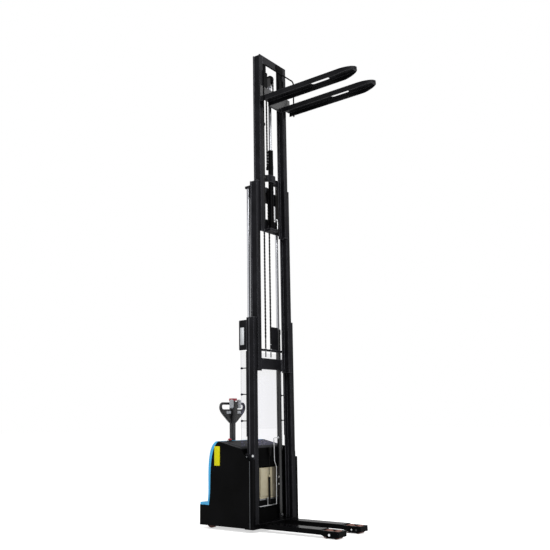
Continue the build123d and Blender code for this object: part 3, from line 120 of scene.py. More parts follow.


# Satin black polyester powder coat: a peel of 3 mm dimples breaks up the reflections, and the film is a little glossier
# where it flowed thick, in patches 160 mm across. Along the edges it is painted grey, a painted highlight where
# rounded edges would catch the light; the band is drawn 10 mm wide so that it shows.
powder_coat = powder("satin_black_powder_coat", "#050506", "#0A0A0B", "#18181A", 0.012, 0.16, 0.26)
dress(["base_frame", "leg_left", "leg_right"], powder_coat)


def fit(name, bm, materials, body=None):
    """Finished piece of a bmesh: seams merged, faces outwards, round faces smooth, riding on its body."""
    bmesh.ops.remove_doubles(bm, verts=bm.verts, dist=1e-6)
    bmesh.ops.recalc_face_normals(bm, faces=bm.faces)
    mesh = bpy.data.meshes.new(name)
    bm.to_mesh(mesh)
    bm.free()
    mesh.shade_smooth()
    mesh.set_sharp_from_angle(angle=math.radians(38))
    for material in materials:
        mesh.materials.append(material)
    fitted = bpy.data.objects.new(name, mesh)
    bpy.context.scene.collection.objects.link(fitted)
    if body:
        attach(fitted, body)
    return fitted


def weld(bm, start, end, size=0.004):
    """Fillet weld as a row of overlapping ripples."""
    start = Vector(start)
    end = Vector(end)
    count = round((end - start).length / (0.8 * size))
    for step in range(count + 1):
        ripple = Matrix.Translation(start.lerp(end, step / count))
        bmesh.ops.create_icosphere(bm, subdivisions=1, radius=size, matrix=ripple)


LEG_UNDERSIDE = 0.036
leg_low, leg_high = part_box("leg_left")
bm = bmesh.new()
for side in (-1, 1):
    inner = side * leg_low[0]
    outer = side * leg_high[0]
    weld(bm, (inner, leg_high[1], leg_high[2]), (outer, leg_high[1], leg_high[2]))
    for x in (inner, outer):
        weld(bm, (x, leg_high[1], LEG_UNDERSIDE), (x, leg_high[1], leg_high[2]))
fit("leg_welds", bm, [powder_coat], "chassis")

# Load wheels: tandem rollers in the leg ends, red-brown polyurethane cast on turned steel tubes with sealed
# bearings. They run on plain axles, and one zinc plated bolt ties the side plates of each leg together.
X_AXIS = Vector((1.0, 0.0, 0.0))
Y_AXIS = Vector((0.0, 1.0, 0.0))
Z_AXIS = Vector((0.0, 0.0, 1.0))


def mottled(name, grain, tones, gloss, settings, noise=None, span=(0.0, 1.0), relief=None, fine=None, edge=None):
    """Finish whose tone and gloss follow one noise, with its grain in metres. Its relief, as (strength, height),
    follows that noise or a finer pattern, as (kind of texture, grain), and edge is the radius of its softened edges."""
    material, tree = blank(name)
    place = add(tree, "ShaderNodeTexCoord")
    mottle = add(tree, "ShaderNodeTexNoise", {"Scale": 1 / grain, **(noise or {})}, {"Vector": place.outputs["Object"]})
    tone = add(tree, "ShaderNodeValToRGB", links={"Fac": mottle.outputs["Fac"]})
    for stop, position, colour in zip(tone.color_ramp.elements, span, tones):
        stop.position = position
        stop.color = linear(colour)
    sheen = add(tree, "ShaderNodeMapRange", {"To Min": gloss[0], "To Max": gloss[1]}, {"Value": mottle.outputs["Fac"]})
    links = {"Base Color": tone.outputs["Color"], "Roughness": sheen.outputs["Result"]}
    if relief:
        shape = {"Height": mottle.outputs["Fac"]}
        if fine:
            pattern = add(tree, fine[0], {"Scale": 1 / fine[1]}, {"Vector": place.outputs["Object"]})
            shape["Height"] = pattern.outputs[0]
        if edge:
            shape["Normal"] = add(tree, "ShaderNodeBevel", {"samples": 4, "Radius": edge}).outputs["Normal"]
        bump = add(tree, "ShaderNodeBump", {"Strength": relief[0], "Distance": relief[1]}, shape)
        links["Normal"] = bump.outputs["Normal"]
    surface = add(tree, "ShaderNodeBsdfPrincipled", settings, links)
    add(tree, "ShaderNodeOutputMaterial", links={"Surface": surface.outputs["BSDF"]})
    return material


# Cast polyurethane: dense and slightly waxy, matt where it rolls, with scuffs about 12 mm long.
polyurethane = mottled("cast_polyurethane", 0.012, ("#583025", "#784A39"), (0.38, 0.6),
                       {"IOR": 1.5, "Specular IOR Level": 0.3}, {"Detail": 4.0, "Roughness": 0.6},
                       span=(0.35, 0.7), relief=(0.15, 0.0005))

# Zinc plated steel: pale grey, bright on the flats, with a faint bloom in patches of 8 mm.
zinc = mottled("zinc_plated_steel", 0.008, ("#A9ABAE", "#DADBDC"), (0.25, 0.42), {"Metallic": 1.0})


def repaint(material, name, axis, start, end, colour, rough):
    """Copy of a material that is painted over beyond a place on one axis, changing between start and end."""
    painted = material.copy()
    painted.name = name
    tree = painted.node_tree
    surface = tree.nodes["Principled BSDF"]
    place = add(tree, "ShaderNodeTexCoord")
    parts = add(tree, "ShaderNodeSeparateXYZ", links={"Vector": place.outputs["Object"]})
    zone = add(tree, "ShaderNodeMapRange", {"From Min": start, "From Max": end}, {"Value": parts.outputs[axis]})
    tone = surface.inputs["Base Color"].links[0].from_socket
    gloss = surface.inputs["Roughness"].links[0].from_socket
    paint = add(tree, "ShaderNodeMix", {"data_type": "RGBA", 7: linear(colour)}, {0: zone.outputs["Result"], 6: tone})
    sheen = add(tree, "ShaderNodeMix", {3: rough}, {0: zone.outputs["Result"], 2: gloss})
    tree.links.new(paint.outputs[2], surface.inputs["Base Color"])
    tree.links.new(sheen.outputs[0], surface.inputs["Roughness"])
    metal = surface.inputs["Metallic"]
    if metal.default_value > 0.0:
        bare = add(tree, "ShaderNodeMapRange", {"To Min": metal.default_value, "To Max": 0.0},
                   {"Value": zone.outputs["Result"]})
        tree.links.new(bare.outputs["Result"], metal)
    return painted


# The axle ends are painted with the legs, so only the tie bolts between them stay plated.
TIE_Y = (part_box("load_wheel_left_rear")[0][1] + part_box("load_wheel_left_front")[1][1]) / 2
plated_front = repaint(zinc, "zinc_with_painted_rear_ends", "Y", TIE_Y + 0.016, TIE_Y + 0.018, "#070708", 0.4)
dress(["load_axles"], repaint(plated_front, "zinc_tie_bolts", "Y", TIE_Y - 0.016, TIE_Y - 0.018, "#070708", 0.4))


def turned(bm, profile, centre, axis, segments=48, material=0):
    """Turns a profile of (distance along the axis, radius) points about an axis through the centre."""
    outward = axis.orthogonal().normalized()
    known = len(bm.faces)
    points = [bm.verts.new(Vector(centre) + axis * along + outward * radius) for along, radius in profile]
    lines = [bm.edges.new(ends) for ends in zip(points, points[1:])]
    bmesh.ops.spin(bm, geom=points + lines, cent=centre, axis=axis, angle=math.tau, steps=segments, use_merge=True)
    bm.faces.ensure_lookup_table()
    for face in bm.faces[known:]:
        face.material_index = material


def rolling_wheel(node, tyre, bore, sink, hub_finish):
    """Cast tyre on a hub with sunk faces, in the place of the plain wheel of that name."""
    low, high = (Vector(corner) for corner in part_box(node))
    centre = (low + high) / 2
    half = (high.x - low.x) / 2
    radius = (high.z - low.z) / 2
    rim = radius - tyre
    soft = tyre / 2
    bm = bmesh.new()
    section = [(half, rim), (half, radius - soft), (half - 0.3 * soft, radius - 0.3 * soft), (half - soft, radius)]
    turned(bm, section + [(-along, r) for along, r in reversed(section)] + section[:1], centre, X_AXIS)
    face = half - 0.002
    section = [(face - sink, bore), (face - sink, 0.45 * rim), (face - 0.7 * sink, 0.48 * rim),
               (face - 0.7 * sink, 0.7 * rim), (face, 0.78 * rim), (face, rim)]
    hub = section + [(-along, r) for along, r in reversed(section)] + section[:1]
    turned(bm, hub, centre, X_AXIS, material=1)
    wheel = fit(f"cast_{node}", bm, [polyurethane, hub_finish], node)
    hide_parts(node)


for side in ("left", "right"):
    for end in ("rear", "front"):
        rolling_wheel(f"load_wheel_{side}_{end}", tyre=0.010, bore=0.0101, sink=0.006, hub_finish=zinc)

# Castors: two small swivel wheels that steady the back of the machine. Pressed steel forks, painted, hold
# cast polyurethane wheels, hub and all, on axles with lock nuts.
CASTOR_AXLE = (0.280, 0.930, 0.062)
CASTOR_FORK_HALF = 0.034


def bolt(bm, seat, axis, across, material=0):
    """Hexagon head on a plain washer, standing on its seat along the axis."""
    seat = Vector(seat)
    washer = 0.16 * across
    height = 0.62 * across
    turned(bm, [(0, 0), (0, across), (washer, 0.97 * across), (washer, 0)], seat, axis, 20, material)
    stand = axis.to_track_quat("Z", "Y").to_matrix().to_4x4()
    middle = Matrix.Translation(seat + axis * (washer + height / 2)) @ stand
    flats = 0.58 * across
    head = bmesh.ops.create_cone(bm, cap_ends=True, segments=6, radius1=flats, radius2=flats, depth=height,
                                 matrix=middle)["verts"]
    top = [vert for vert in head if (vert.co - seat).dot(axis) > washer + height / 2]
    rims = [line for line in {line for vert in top for line in vert.link_edges} if all(v in top for v in line.verts)]
    bmesh.ops.bevel(bm, geom=rims, offset=0.08 * across, offset_type="OFFSET", segments=2, profile=0.5,
                    affect="EDGES", clamp_overlap=True, material=-1)
    for face in {face for vert in head if vert.is_valid for face in vert.link_faces}:
        face.material_index = material


for side, name in ((1, "left"), (-1, "right")):
    rolling_wheel(f"castor_wheel_{name}", tyre=0.014, bore=0.0091, sink=0.008, hub_finish=polyurethane)
    bm = bmesh.new()
    for end in (-1, 1):
        seat = (side * CASTOR_AXLE[0] + end * CASTOR_FORK_HALF, CASTOR_AXLE[1], CASTOR_AXLE[2])
        bolt(bm, seat, end * X_AXIS, 0.016)
    fit(f"castor_nuts_{name}", bm, [powder_coat], f"castor_fork_{name}")
dress(["castor_fork_left", "castor_fork_right"], powder_coat)

# Drive unit: a hub motor between the arms of a steered yoke, with a cast polyurethane tyre around it.
# The motor housing is cast aluminium, and the yoke is welded plate that turns in the deck under the tiller.
# Shot blasted cast aluminium: grey and evenly grained, drawn with a 2 mm grain so that it shows.
cast_aluminium = mottled("cast_aluminium", 0.002, ("#7E8082", "#A9ABAD"), (0.42, 0.6), {"Metallic": 1.0},
                         relief=(0.3, 0.0003))
dress(["hub_motor", "pump_unit", "controller"], cast_aluminium)
dress(["drive_yoke"], powder_coat)

low, high = (Vector(corner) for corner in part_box("drive_wheel"))
drive_centre = (low + high) / 2
half = (high.x - low.x) / 2
radius = (high.z - low.z) / 2
MOTOR_BORE = 0.0602
section = [(half, MOTOR_BORE), (half, radius - 0.009), (half - 0.003, radius - 0.003), (half - 0.009, radius)]
section += [(0.014, radius), (0.012, radius - 0.004), (0.008, radius - 0.004), (0.006, radius)]
bm = bmesh.new()
turned(bm, section + [(-along, r) for along, r in reversed(section)] + section[:1], drive_centre, X_AXIS, 72)
tyre = fit("drive_tyre", bm, [polyurethane], "drive_wheel")
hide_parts("drive_wheel")

bm = bmesh.new()
MOTOR_FACE = half + 0.001
BOLT_CIRCLE = 0.050
BOLT_DEGREES = (-32, 0, 32, 148, 180, 212)
for end in (-1, 1):
    for degrees in BOLT_DEGREES:
        swing = math.radians(degrees)
        offset = Vector((end * MOTOR_FACE, BOLT_CIRCLE * math.cos(swing), BOLT_CIRCLE * math.sin(swing)))
        bolt(bm, drive_centre + offset, end * X_AXIS, 0.005)
fit("motor_bolts", bm, [zinc], "steering")

# Bulkhead, oil tank, pump, battery and controller: the black bulkhead plate closes the body behind the mast
# and is cut open in front of the tank. The tank is blow moulded, with a raised front panel and a foot rim.
# Textured battery enamel: dark grey, with a grain drawn at 2 mm so that it shows.
battery_enamel = mottled("textured_grey_enamel", 0.002, ("#202326", "#34383C"), (0.42, 0.58), {"IOR": 1.5},
                         relief=(0.3, 0.0003))
dress(["battery_pack"], battery_enamel)
# Matt black powder coat, almost without sheen.
matt_coat = powder("matt_black_powder_coat", "#050505", "#0A0A0B", "#1C1C1E", 0.02, 0.70, 0.80)
dress(["bulkhead"], matt_coat)

# Blow moulded polyethylene: cream and waxy, with soft ripples 40 mm across.
# Beyond 0.17 m across it turns a dark brownish grey, a painted shade.
polyethylene, tree = blank("blow_moulded_polyethylene")
place = add(tree, "ShaderNodeTexCoord")
ripple = add(tree, "ShaderNodeTexNoise", {"Scale": 1 / 0.040, "Detail": 2.0}, {"Vector": place.outputs["Object"]})
tone = add(tree, "ShaderNodeValToRGB", links={"Fac": ripple.outputs["Fac"]})
tone.color_ramp.elements[0].color = linear("#9B927A")
tone.color_ramp.elements[1].color = linear("#AEA68C")
across = add(tree, "ShaderNodeSeparateXYZ", links={"Vector": place.outputs["Object"]})
# Painted shade: the tank darkens beyond 0.17 m across.
far_end_shade = add(tree, "ShaderNodeMapRange", {"From Min": 0.168, "From Max": 0.180}, {"Value": across.outputs["X"]})
shaded_tone = add(tree, "ShaderNodeMix", {"data_type": "RGBA", 7: linear("#5B5548")},
            {0: far_end_shade.outputs["Result"], 6: tone.outputs["Color"]})
gloss = add(tree, "ShaderNodeMapRange", {"To Min": 0.38, "To Max": 0.5}, {"Value": ripple.outputs["Fac"]})
bump = add(tree, "ShaderNodeBump", {"Strength": 0.2, "Distance": 0.002}, {"Height": ripple.outputs["Fac"]})
wax = add(tree, "ShaderNodeBsdfPrincipled", {"IOR": 1.51, "Subsurface Weight": 0.12,
                                             "Subsurface Radius": (0.02, 0.015, 0.01)},
          {"Base Color": shaded_tone.outputs[2], "Roughness": gloss.outputs["Result"],
           "Normal": bump.outputs["Normal"]})
add(tree, "ShaderNodeOutputMaterial", links={"Surface": wax.outputs["BSDF"]})
dress(["oil_tank"], polyethylene)


def plate(bm, low, high, soft, segments=3, material=0):
    """Rounded block between two corners."""
    low = Vector(low)
    high = Vector(high)
    spread = Matrix.Translation((low + high) / 2) @ Matrix.Diagonal((*(high - low), 1.0))
    corners = bmesh.ops.create_cube(bm, size=1.0, matrix=spread)["verts"]
    for face in {face for vert in corners for face in vert.link_faces}:
        face.material_index = material
    lines = list(dict.fromkeys(line for vert in corners for line in vert.link_edges))
    bmesh.ops.bevel(bm, geom=lines, offset=soft, offset_type="OFFSET", segments=segments, profile=0.5,
                    affect="EDGES", clamp_overlap=True, material=-1)


tank_low, tank_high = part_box("oil_tank")
TANK_FACE = tank_low[1]
TANK_PROUD = 0.007
SHOULDER = 0.612
bm = bmesh.new()
plate(bm, (-0.030, TANK_FACE - TANK_PROUD, 0.312), (0.172, TANK_FACE + 0.004, SHOULDER - 0.012), 0.0045)
plate(bm, (0.182, TANK_FACE - 0.004, 0.312), (0.300, TANK_FACE + 0.004, 0.430), 0.003)
plate(bm, (-0.038, TANK_FACE - TANK_PROUD - 0.001, 0.292), (0.308, TANK_FACE + 0.004, 0.304), 0.003)
fit("tank_front", bm, [polyethylene], "chassis")

# Black rubber: matt and faintly dusty in patches of 25 mm.
rubber = mottled("black_rubber", 0.025, ("#060605", "#0F0E0D"), (0.5, 0.75),
                 {"IOR": 1.52, "Specular IOR Level": 0.1}, {"Detail": 4.0})

# Suction tube in front of the tank, its cap, the lead above it and the ribbed boot at the bulkhead.
TUBE_X = 0.104
TUBE_Y = TANK_FACE - TANK_PROUD - 0.012
bm = bmesh.new()
turned(bm, [(0.236, 0), (0.236, 0.010), (0.240, 0.012), (0.300, 0.012), (0.306, 0.0115), (0.518, 0.0115), (0.518, 0)],
       (TUBE_X, TUBE_Y, 0.0), Z_AXIS, 16)
turned(bm, [(0.530, 0.003), (0.735, 0.003)], (TUBE_X, TUBE_Y, 0.0), Z_AXIS, 10)
boot = [(0.730, 0.0), (0.730, 0.008)]
for rib in range(7):
    height = 0.738 + 0.012 * rib
    width = 0.012 + 0.0017 * rib
    boot += [(height, width - 0.003), (height + 0.003, width), (height + 0.006, width), (height + 0.009, width - 0.003)]
boot += [(0.824, 0.020), (0.824, 0.0)]
turned(bm, boot, (TUBE_X, TANK_FACE - 0.030, 0.0), Z_AXIS, 24)
fit("suction_tube", bm, [rubber], "chassis")
bm = bmesh.new()
turned(bm, [(0.512, 0), (0.512, 0.015), (0.526, 0.015), (0.530, 0.007), (0.536, 0.007), (0.536, 0)],
       (TUBE_X, TUBE_Y, 0.0), Z_AXIS, 20)
turned(bm, [(0.0, 0.026), (0.004, 0.027), (0.016, 0.027), (0.020, 0.024), (0.020, 0.0)],
       (0.020, TANK_FACE + 0.065, tank_high[2] - 0.004), Z_AXIS, 28)
fit("tank_caps", bm, [polyethylene], "chassis")

# Side panels: 4 mm steel sheet, laser cut and screwed to the feet and the deck ribs on each side.
# They are painted a finer, deeper black than the frame, and each carries a plain yellow reflector at the back.
# Fine textured black paint: a grain drawn at 3 mm so that it shows, low sheen, faint wipe marks 300 mm long.
panel_paint = mottled("fine_textured_black_paint", 0.300, ("#040404", "#0A0A0B"), (0.36, 0.5),
                      {"IOR": 1.5, "Specular IOR Level": 0.02}, {"Detail": 4.0}, span=(0.3, 0.75),
                      relief=(0.12, 0.0003), fine=("ShaderNodeTexNoise", 0.003), edge=0.003)
dress(["side_panel_left", "side_panel_right"], panel_paint)

# Prismatic acrylic: yellow, with a bed of prisms drawn at 5 mm, coarser than they are, so that they show.
reflector_yellow, tree = blank("prismatic_yellow_acrylic")
place = add(tree, "ShaderNodeTexCoord")
prisms = add(tree, "ShaderNodeTexVoronoi", {"Scale": 1 / 0.005, "Randomness": 0.2},
             {"Vector": place.outputs["Object"]})
tone = add(tree, "ShaderNodeValToRGB", links={"Fac": prisms.outputs["Distance"]})
tone.color_ramp.elements[0].color = linear("#D2CC08")
tone.color_ramp.elements[1].color = linear("#BEB804")
bump = add(tree, "ShaderNodeBump", {"Strength": 0.25, "Distance": 0.0006}, {"Height": prisms.outputs["Distance"]})
acrylic = add(tree, "ShaderNodeBsdfPrincipled", {"Roughness": 0.3, "IOR": 1.49, "Specular IOR Level": 0.12},
              {"Base Color": tone.outputs["Color"], "Normal": bump.outputs["Normal"]})
add(tree, "ShaderNodeOutputMaterial", links={"Surface": acrylic.outputs["BSDF"]})


def screw(bm, seat, axis, radius):
    """Button head with a socket, standing on its seat along the axis."""
    head = [(0.0, 1.0), (0.30, 0.97), (0.52, 0.75), (0.60, 0.45), (0.25, 0.42), (0.25, 0.0)]
    turned(bm, [(along * radius, r * radius) for along, r in head], seat, axis, 16)


PANEL_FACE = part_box("side_panel_left")[1][0]
REFLECTOR_Y = (0.724, 0.800)
REFLECTOR_Z = (0.650, 0.850)
PANEL_SCREWS = ((0.336, 0.110), (0.336, 0.640), (0.500, 0.070), (0.700, 0.070), (0.975, 0.110), (0.850, 0.560))
lenses = bmesh.new()
screws = bmesh.new()
for side in (-1, 1):
    inside, outside = sorted((side * (PANEL_FACE - 0.001), side * (PANEL_FACE + 0.003)))
    plate(lenses, (inside, REFLECTOR_Y[0], REFLECTOR_Z[0]), (outside, REFLECTOR_Y[1], REFLECTOR_Z[1]), 0.0012)
    inside, outside = sorted((side * PANEL_FACE, side * (PANEL_FACE + 0.0045)))
    plate(lenses, (inside, REFLECTOR_Y[0] + 0.006, REFLECTOR_Z[0] + 0.006),
          (outside, REFLECTOR_Y[1] - 0.006, REFLECTOR_Z[1] - 0.006), 0.0012)
    for y, z in PANEL_SCREWS:
        screw(screws, (side * PANEL_FACE, y, z), side * X_AXIS, 0.007)
# Painted highlight: a grey bead in the battery's enamel down the front edge of each panel stands for the light along
# that edge.
beads = bmesh.new()
for side in (-1, 1):
    turned(beads, [(0.047, 0.0), (0.048, 0.003), (0.050, 0.004), (0.703, 0.004), (0.705, 0.003), (0.706, 0.0)],
           (side * (PANEL_FACE - 0.002), 0.3195, 0.0), Z_AXIS, 12)
fit("panel_edge_highlights", beads, [battery_enamel], "chassis")
fit("side_reflectors", lenses, [reflector_yellow], "chassis")
fit("panel_screws", screws, [panel_paint], "chassis")

# Rear cover: one light blue ABS moulding that wraps the back of the machine between the panels, with a bay
# for the tiller. Four black screws hold it to the frame.
# Moulded ABS: even colour, satin gloss, a soft shrink ripple about 60 mm across.
blue_abs = mottled("light_blue_moulded_abs", 0.060, ("#3797C9", "#43A5D6"), (0.28, 0.38),
                   {"IOR": 1.53, "Specular IOR Level": 0.3}, relief=(0.08, 0.002))
dress(["rear_cover"], blue_abs)

PLINTH_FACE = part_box("rear_cover")[1][1]
COVER_FACE = 0.8908
bm = bmesh.new()
COVER_SCREW_X = 0.330
for x in (-COVER_SCREW_X, COVER_SCREW_X):
    for y, z in ((PLINTH_FACE, 0.245), (COVER_FACE, 0.580)):
        screw(bm, (x, y - 0.0005, z), Y_AXIS, 0.008)
fit("rear_cover_screws", bm, [panel_paint], "chassis")

# Top cover: the sloping grey lid over the battery and the electrics, with bosses for the stop button and the key.
# It is moulded in textured ABS, and a flush hatch in it opens over the battery.
# Spark eroded mould texture: a pebble drawn at 3 mm so that it shows, matt, worn in patches of 80 mm.
grey_abs = mottled("mid_grey_textured_abs", 0.080, ("#28282A", "#343436"), (0.60, 0.72),
                   {"IOR": 1.53, "Specular IOR Level": 0.08}, {"Detail": 3.0},
                   relief=(0.2, 0.0003), fine=("ShaderNodeTexVoronoi", 0.003), edge=0.004)
dress(["top_cover"], grey_abs)

COVER_RISE = 69.0 / 305.0
HATCH_FRONT = (0.0, 0.480, 0.900 - COVER_RISE * (0.749 - 0.480))
HATCH_HALF = 0.340
HATCH_LENGTH = 0.185
bm = bmesh.new()
plate(bm, (-HATCH_HALF, HATCH_FRONT[1], HATCH_FRONT[2] - 0.002),
      (HATCH_HALF, HATCH_FRONT[1] + HATCH_LENGTH, HATCH_FRONT[2] + 0.005), 0.0035)
plate(bm, (-0.050, HATCH_FRONT[1] + 0.010, HATCH_FRONT[2] + 0.002),
      (0.050, HATCH_FRONT[1] + 0.034, HATCH_FRONT[2] + 0.009), 0.003)
tilt = Matrix.Rotation(math.atan(COVER_RISE), 3, "X")
bmesh.ops.rotate(bm, cent=HATCH_FRONT, matrix=tilt, verts=bm.verts)
fit("cover_hatch", bm, [grey_abs], "chassis")

# Stop button and key: a red moulded mushroom button and a plated key barrel.
# Each stands in a turned bezel on its own boss of the top cover.
# Gloss red ABS: even, with 20 mm flow marks.
red_abs = mottled("red_moulded_abs", 0.020, ("#8E0F24", "#A81C34"), (0.24, 0.36),
                  {"IOR": 1.53, "Specular IOR Level": 0.2})
dress(["belly_button"], red_abs)

low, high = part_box("stop_button")
STOP_PLACE = ((low[0] + high[0]) / 2, (low[1] + high[1]) / 2, 0.0)
bm = bmesh.new()
turned(bm, [(low[2], 0.0), (low[2], 0.009), (0.9116, 0.009), (0.9100, 0.0130), (0.9104, 0.0185), (0.9125, 0.0199),
            (0.9160, 0.0199), (0.9200, 0.0186), (0.9232, 0.0160), (0.9257, 0.0118), (0.9271, 0.0064),
            (high[2], 0.0)], STOP_PLACE, Z_AXIS)
knob = fit("stop_mushroom", bm, [red_abs], "stop_button")
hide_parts("stop_button")
dress(["key_switch"], zinc)

low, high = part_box("key_switch")
KEY_PLACE = ((low[0] + high[0]) / 2, (low[1] + high[1]) / 2, 0.0)
BOSS_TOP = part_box("top_cover")[1][2]
bm = bmesh.new()
for place in (STOP_PLACE, KEY_PLACE):
    turned(bm, [(BOSS_TOP - 0.001, 0.0225), (BOSS_TOP + 0.003, 0.0230), (BOSS_TOP + 0.004, 0.0245),
                (BOSS_TOP + 0.0025, 0.0275), (BOSS_TOP - 0.001, 0.0280), (BOSS_TOP - 0.001, 0.0225)], place, Z_AXIS)
fit("switch_bezels", bm, [panel_paint], "chassis")

# Outer mast: two rolled steel channels welded to the base beam and to tall feet, with a cross bar at the back.
# Bracket plates bolted to each side take the panels' top corners, and the chain anchors are nutted to the bar.
# Mast powder coat: the frame's black a shade greyer and flatter, with a stronger painted highlight along the rolled
# edges.
mast_coat = powder("flat_black_powder_coat", "#121214", "#1C1C1F", "#606065", 0.025, 0.48, 0.60)
dress(["outer_rails", "outer_cross_bar"], mast_coat)
rail_low, rail_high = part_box("outer_rails")
RAIL_INSIDE = 0.294
RAIL_SIDE = rail_high[0]
RAIL_FRONT = rail_low[1]
FOOT_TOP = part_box("base_frame")[1][2]
FOOT_REAR = 0.350
bm = bmesh.new()
for side in (-1, 1):
    weld(bm, (side * RAIL_INSIDE, RAIL_FRONT, leg_high[2]), (side * RAIL_SIDE, RAIL_FRONT, leg_high[2]))
    weld(bm, (side * RAIL_SIDE, RAIL_FRONT, leg_high[2]), (side * RAIL_SIDE, RAIL_FRONT, FOOT_TOP), 0.003)
    weld(bm, (side * RAIL_SIDE, RAIL_FRONT, FOOT_TOP), (side * RAIL_SIDE, FOOT_REAR, FOOT_TOP), 0.003)
fit("mast_welds", bm, [powder_coat], "chassis")

# Flat bars welded along the backs of the outer channels, and a round bead down each side.
# The beads are painted a paler grey than the coat, a painted highlight along the side of each rail.
seam_highlight_paint = powder("grey_painted_highlight", "#3C3C40", "#4C4C50", "#5A5A5E", 0.05, 0.40, 0.52)
bars = bmesh.new()
highlight_beads = bmesh.new()
RAIL_REAR = rail_high[1]
RAIL_TOP = rail_high[2]
RAIL_BEAD_Y = 0.346
RAIL_BAR_INSIDE = 0.300
RAIL_BAR_Z = (0.950, 1.840)
for side in (-1, 1):
    inside, outside = sorted((side * RAIL_BAR_INSIDE, side * (RAIL_SIDE - 0.001)))
    plate(bars, (inside, RAIL_REAR - 0.001, RAIL_BAR_Z[0]), (outside, RAIL_REAR + 0.010, RAIL_BAR_Z[1]), 0.002)
    turned(highlight_beads, [(0.712, 0.0), (0.714, 0.006), (RAIL_TOP - 0.008, 0.006), (RAIL_TOP - 0.004, 0.0)],
           (side * (RAIL_SIDE - 0.001), RAIL_BEAD_Y, 0.0), Z_AXIS, 12)
fit("rail_bars", bars, [mast_coat], "chassis")
fit("rail_highlight_beads", highlight_beads, [seam_highlight_paint], "chassis")

BRACKET_Y = (0.284, 0.404)
BRACKET_Z = (0.718, 0.776)
BRACKET_FACE = RAIL_SIDE + 0.010
BRACKET_BOLTS = ((0.298, 0.755), (0.386, 0.745))
brackets = bmesh.new()
bolts = bmesh.new()
for side in (-1, 1):
    inside, outside = sorted((side * (RAIL_SIDE - 0.001), side * BRACKET_FACE))
    plate(brackets, (inside, BRACKET_Y[0], BRACKET_Z[0]), (outside, BRACKET_Y[1], BRACKET_Z[1]), 0.003)
    for y, z in BRACKET_BOLTS:
        bolt(bolts, (side * BRACKET_FACE, y, z), side * X_AXIS, 0.013)
fit("mast_brackets", brackets, [mast_coat], "chassis")

CHAIN_X = 0.046
CHAIN_REAR = 0.362
BAR_EDGES = (1.858, 1.882)
ANCHOR_NUT = 1.936
FOOT_BOLT = (0.252, 0.3935, 0.112)
for side in (-1, 1):
    bolt(bolts, (side * CHAIN_X, CHAIN_REAR, BAR_EDGES[1]), Z_AXIS, 0.011)
    bolt(bolts, (side * CHAIN_X, CHAIN_REAR, BAR_EDGES[0]), -Z_AXIS, 0.011)
    bolt(bolts, (side * CHAIN_X, CHAIN_REAR, ANCHOR_NUT), Z_AXIS, 0.0115)
    bolt(bolts, (side * FOOT_BOLT[0], *FOOT_BOLT[1:]), -Y_AXIS, 0.013)
fit("mast_bolts", bolts, [zinc], "chassis")

# Lift cylinders and pipes: two single acting cylinders stand behind the rails, painted with the mast.
# Chromed rods carry the middle mast, and plated steel pipe joins the pump to their ports.
# Gloss black enamel, sprayed on the turned barrels.
enamel = powder("gloss_black_enamel", "#0B0B0C", "#121214", "#242427", 0.5, 0.18, 0.26)
dress(["lift_cylinders"], enamel)
# Hard chrome: bright, with a fine hone grain drawn at 4 mm so that it shows.
chrome = mottled("hard_chrome", 0.004, ("#85868A", "#9A9B9F"), (0.08, 0.2), {"Metallic": 1.0})
dress(["lift_rods"], chrome)
# The free lift rod's chrome is painted darker towards the top from 3 m up, a painted shade, and its welded crosshead
# from 4.97 m up is painted black.
shaded_rod = repaint(chrome, "hard_chrome_with_painted_shade", "Z", 3.000, 6.600, "#101012", 0.5)
headed_rod = repaint(shaded_rod, "shaded_hard_chrome_with_painted_head", "Z", 4.968, 4.970, "#101012", 0.5)
dress(["free_lift_rod"], headed_rod)


def tube(bm, path, radius):
    """Bent round pipe along a path of points, closed at both ends."""
    bend = bpy.data.curves.new("bend", "CURVE")
    bend.dimensions = "3D"
    bend.bevel_depth = radius
    bend.bevel_resolution = 3
    bend.use_fill_caps = True
    line = bend.splines.new("NURBS")
    line.points.add(len(path) - 1)
    for point, place in zip(line.points, path):
        point.co = (*place, 1.0)
    line.order_u = 3
    line.use_endpoint_u = True
    line.resolution_u = 6
    holder = bpy.data.objects.new("bend", bend)
    mesh = bpy.data.meshes.new_from_object(holder)
    bm.from_mesh(mesh)
    bpy.data.objects.remove(holder)
    bpy.data.curves.remove(bend)
    bpy.data.meshes.remove(mesh)


CYLINDER = (0.258, 0.420)
BARREL = 0.027
PIPE = 0.005
PIPE_Y = 0.442
PIPE_RUN = 0.220
PIPE_TOP = 0.922
TEE_X = 0.060
bm = bmesh.new()
tube(bm, ((-0.075, TANK_FACE, PIPE_RUN), (-0.075, 0.456, PIPE_RUN), (-0.075, PIPE_Y, PIPE_RUN),
          (-0.061, PIPE_Y, PIPE_RUN), (0.198, PIPE_Y, PIPE_RUN), (0.212, PIPE_Y, PIPE_RUN),
          (0.212, PIPE_Y, 0.234), (0.220, PIPE_Y, 0.585), (0.221, PIPE_Y, 0.615), (0.187, PIPE_Y, 0.672),
          (0.185, PIPE_Y, 0.700), (0.181, PIPE_Y, PIPE_TOP - 0.016), (0.181, PIPE_Y, PIPE_TOP),
          (0.197, 0.437, PIPE_TOP), (CYLINDER[0] - BARREL + 0.002, CYLINDER[1], PIPE_TOP)), PIPE)
pipe = fit("bent_pipe", bm, [zinc], "chassis")
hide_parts("hydraulic_pipe")

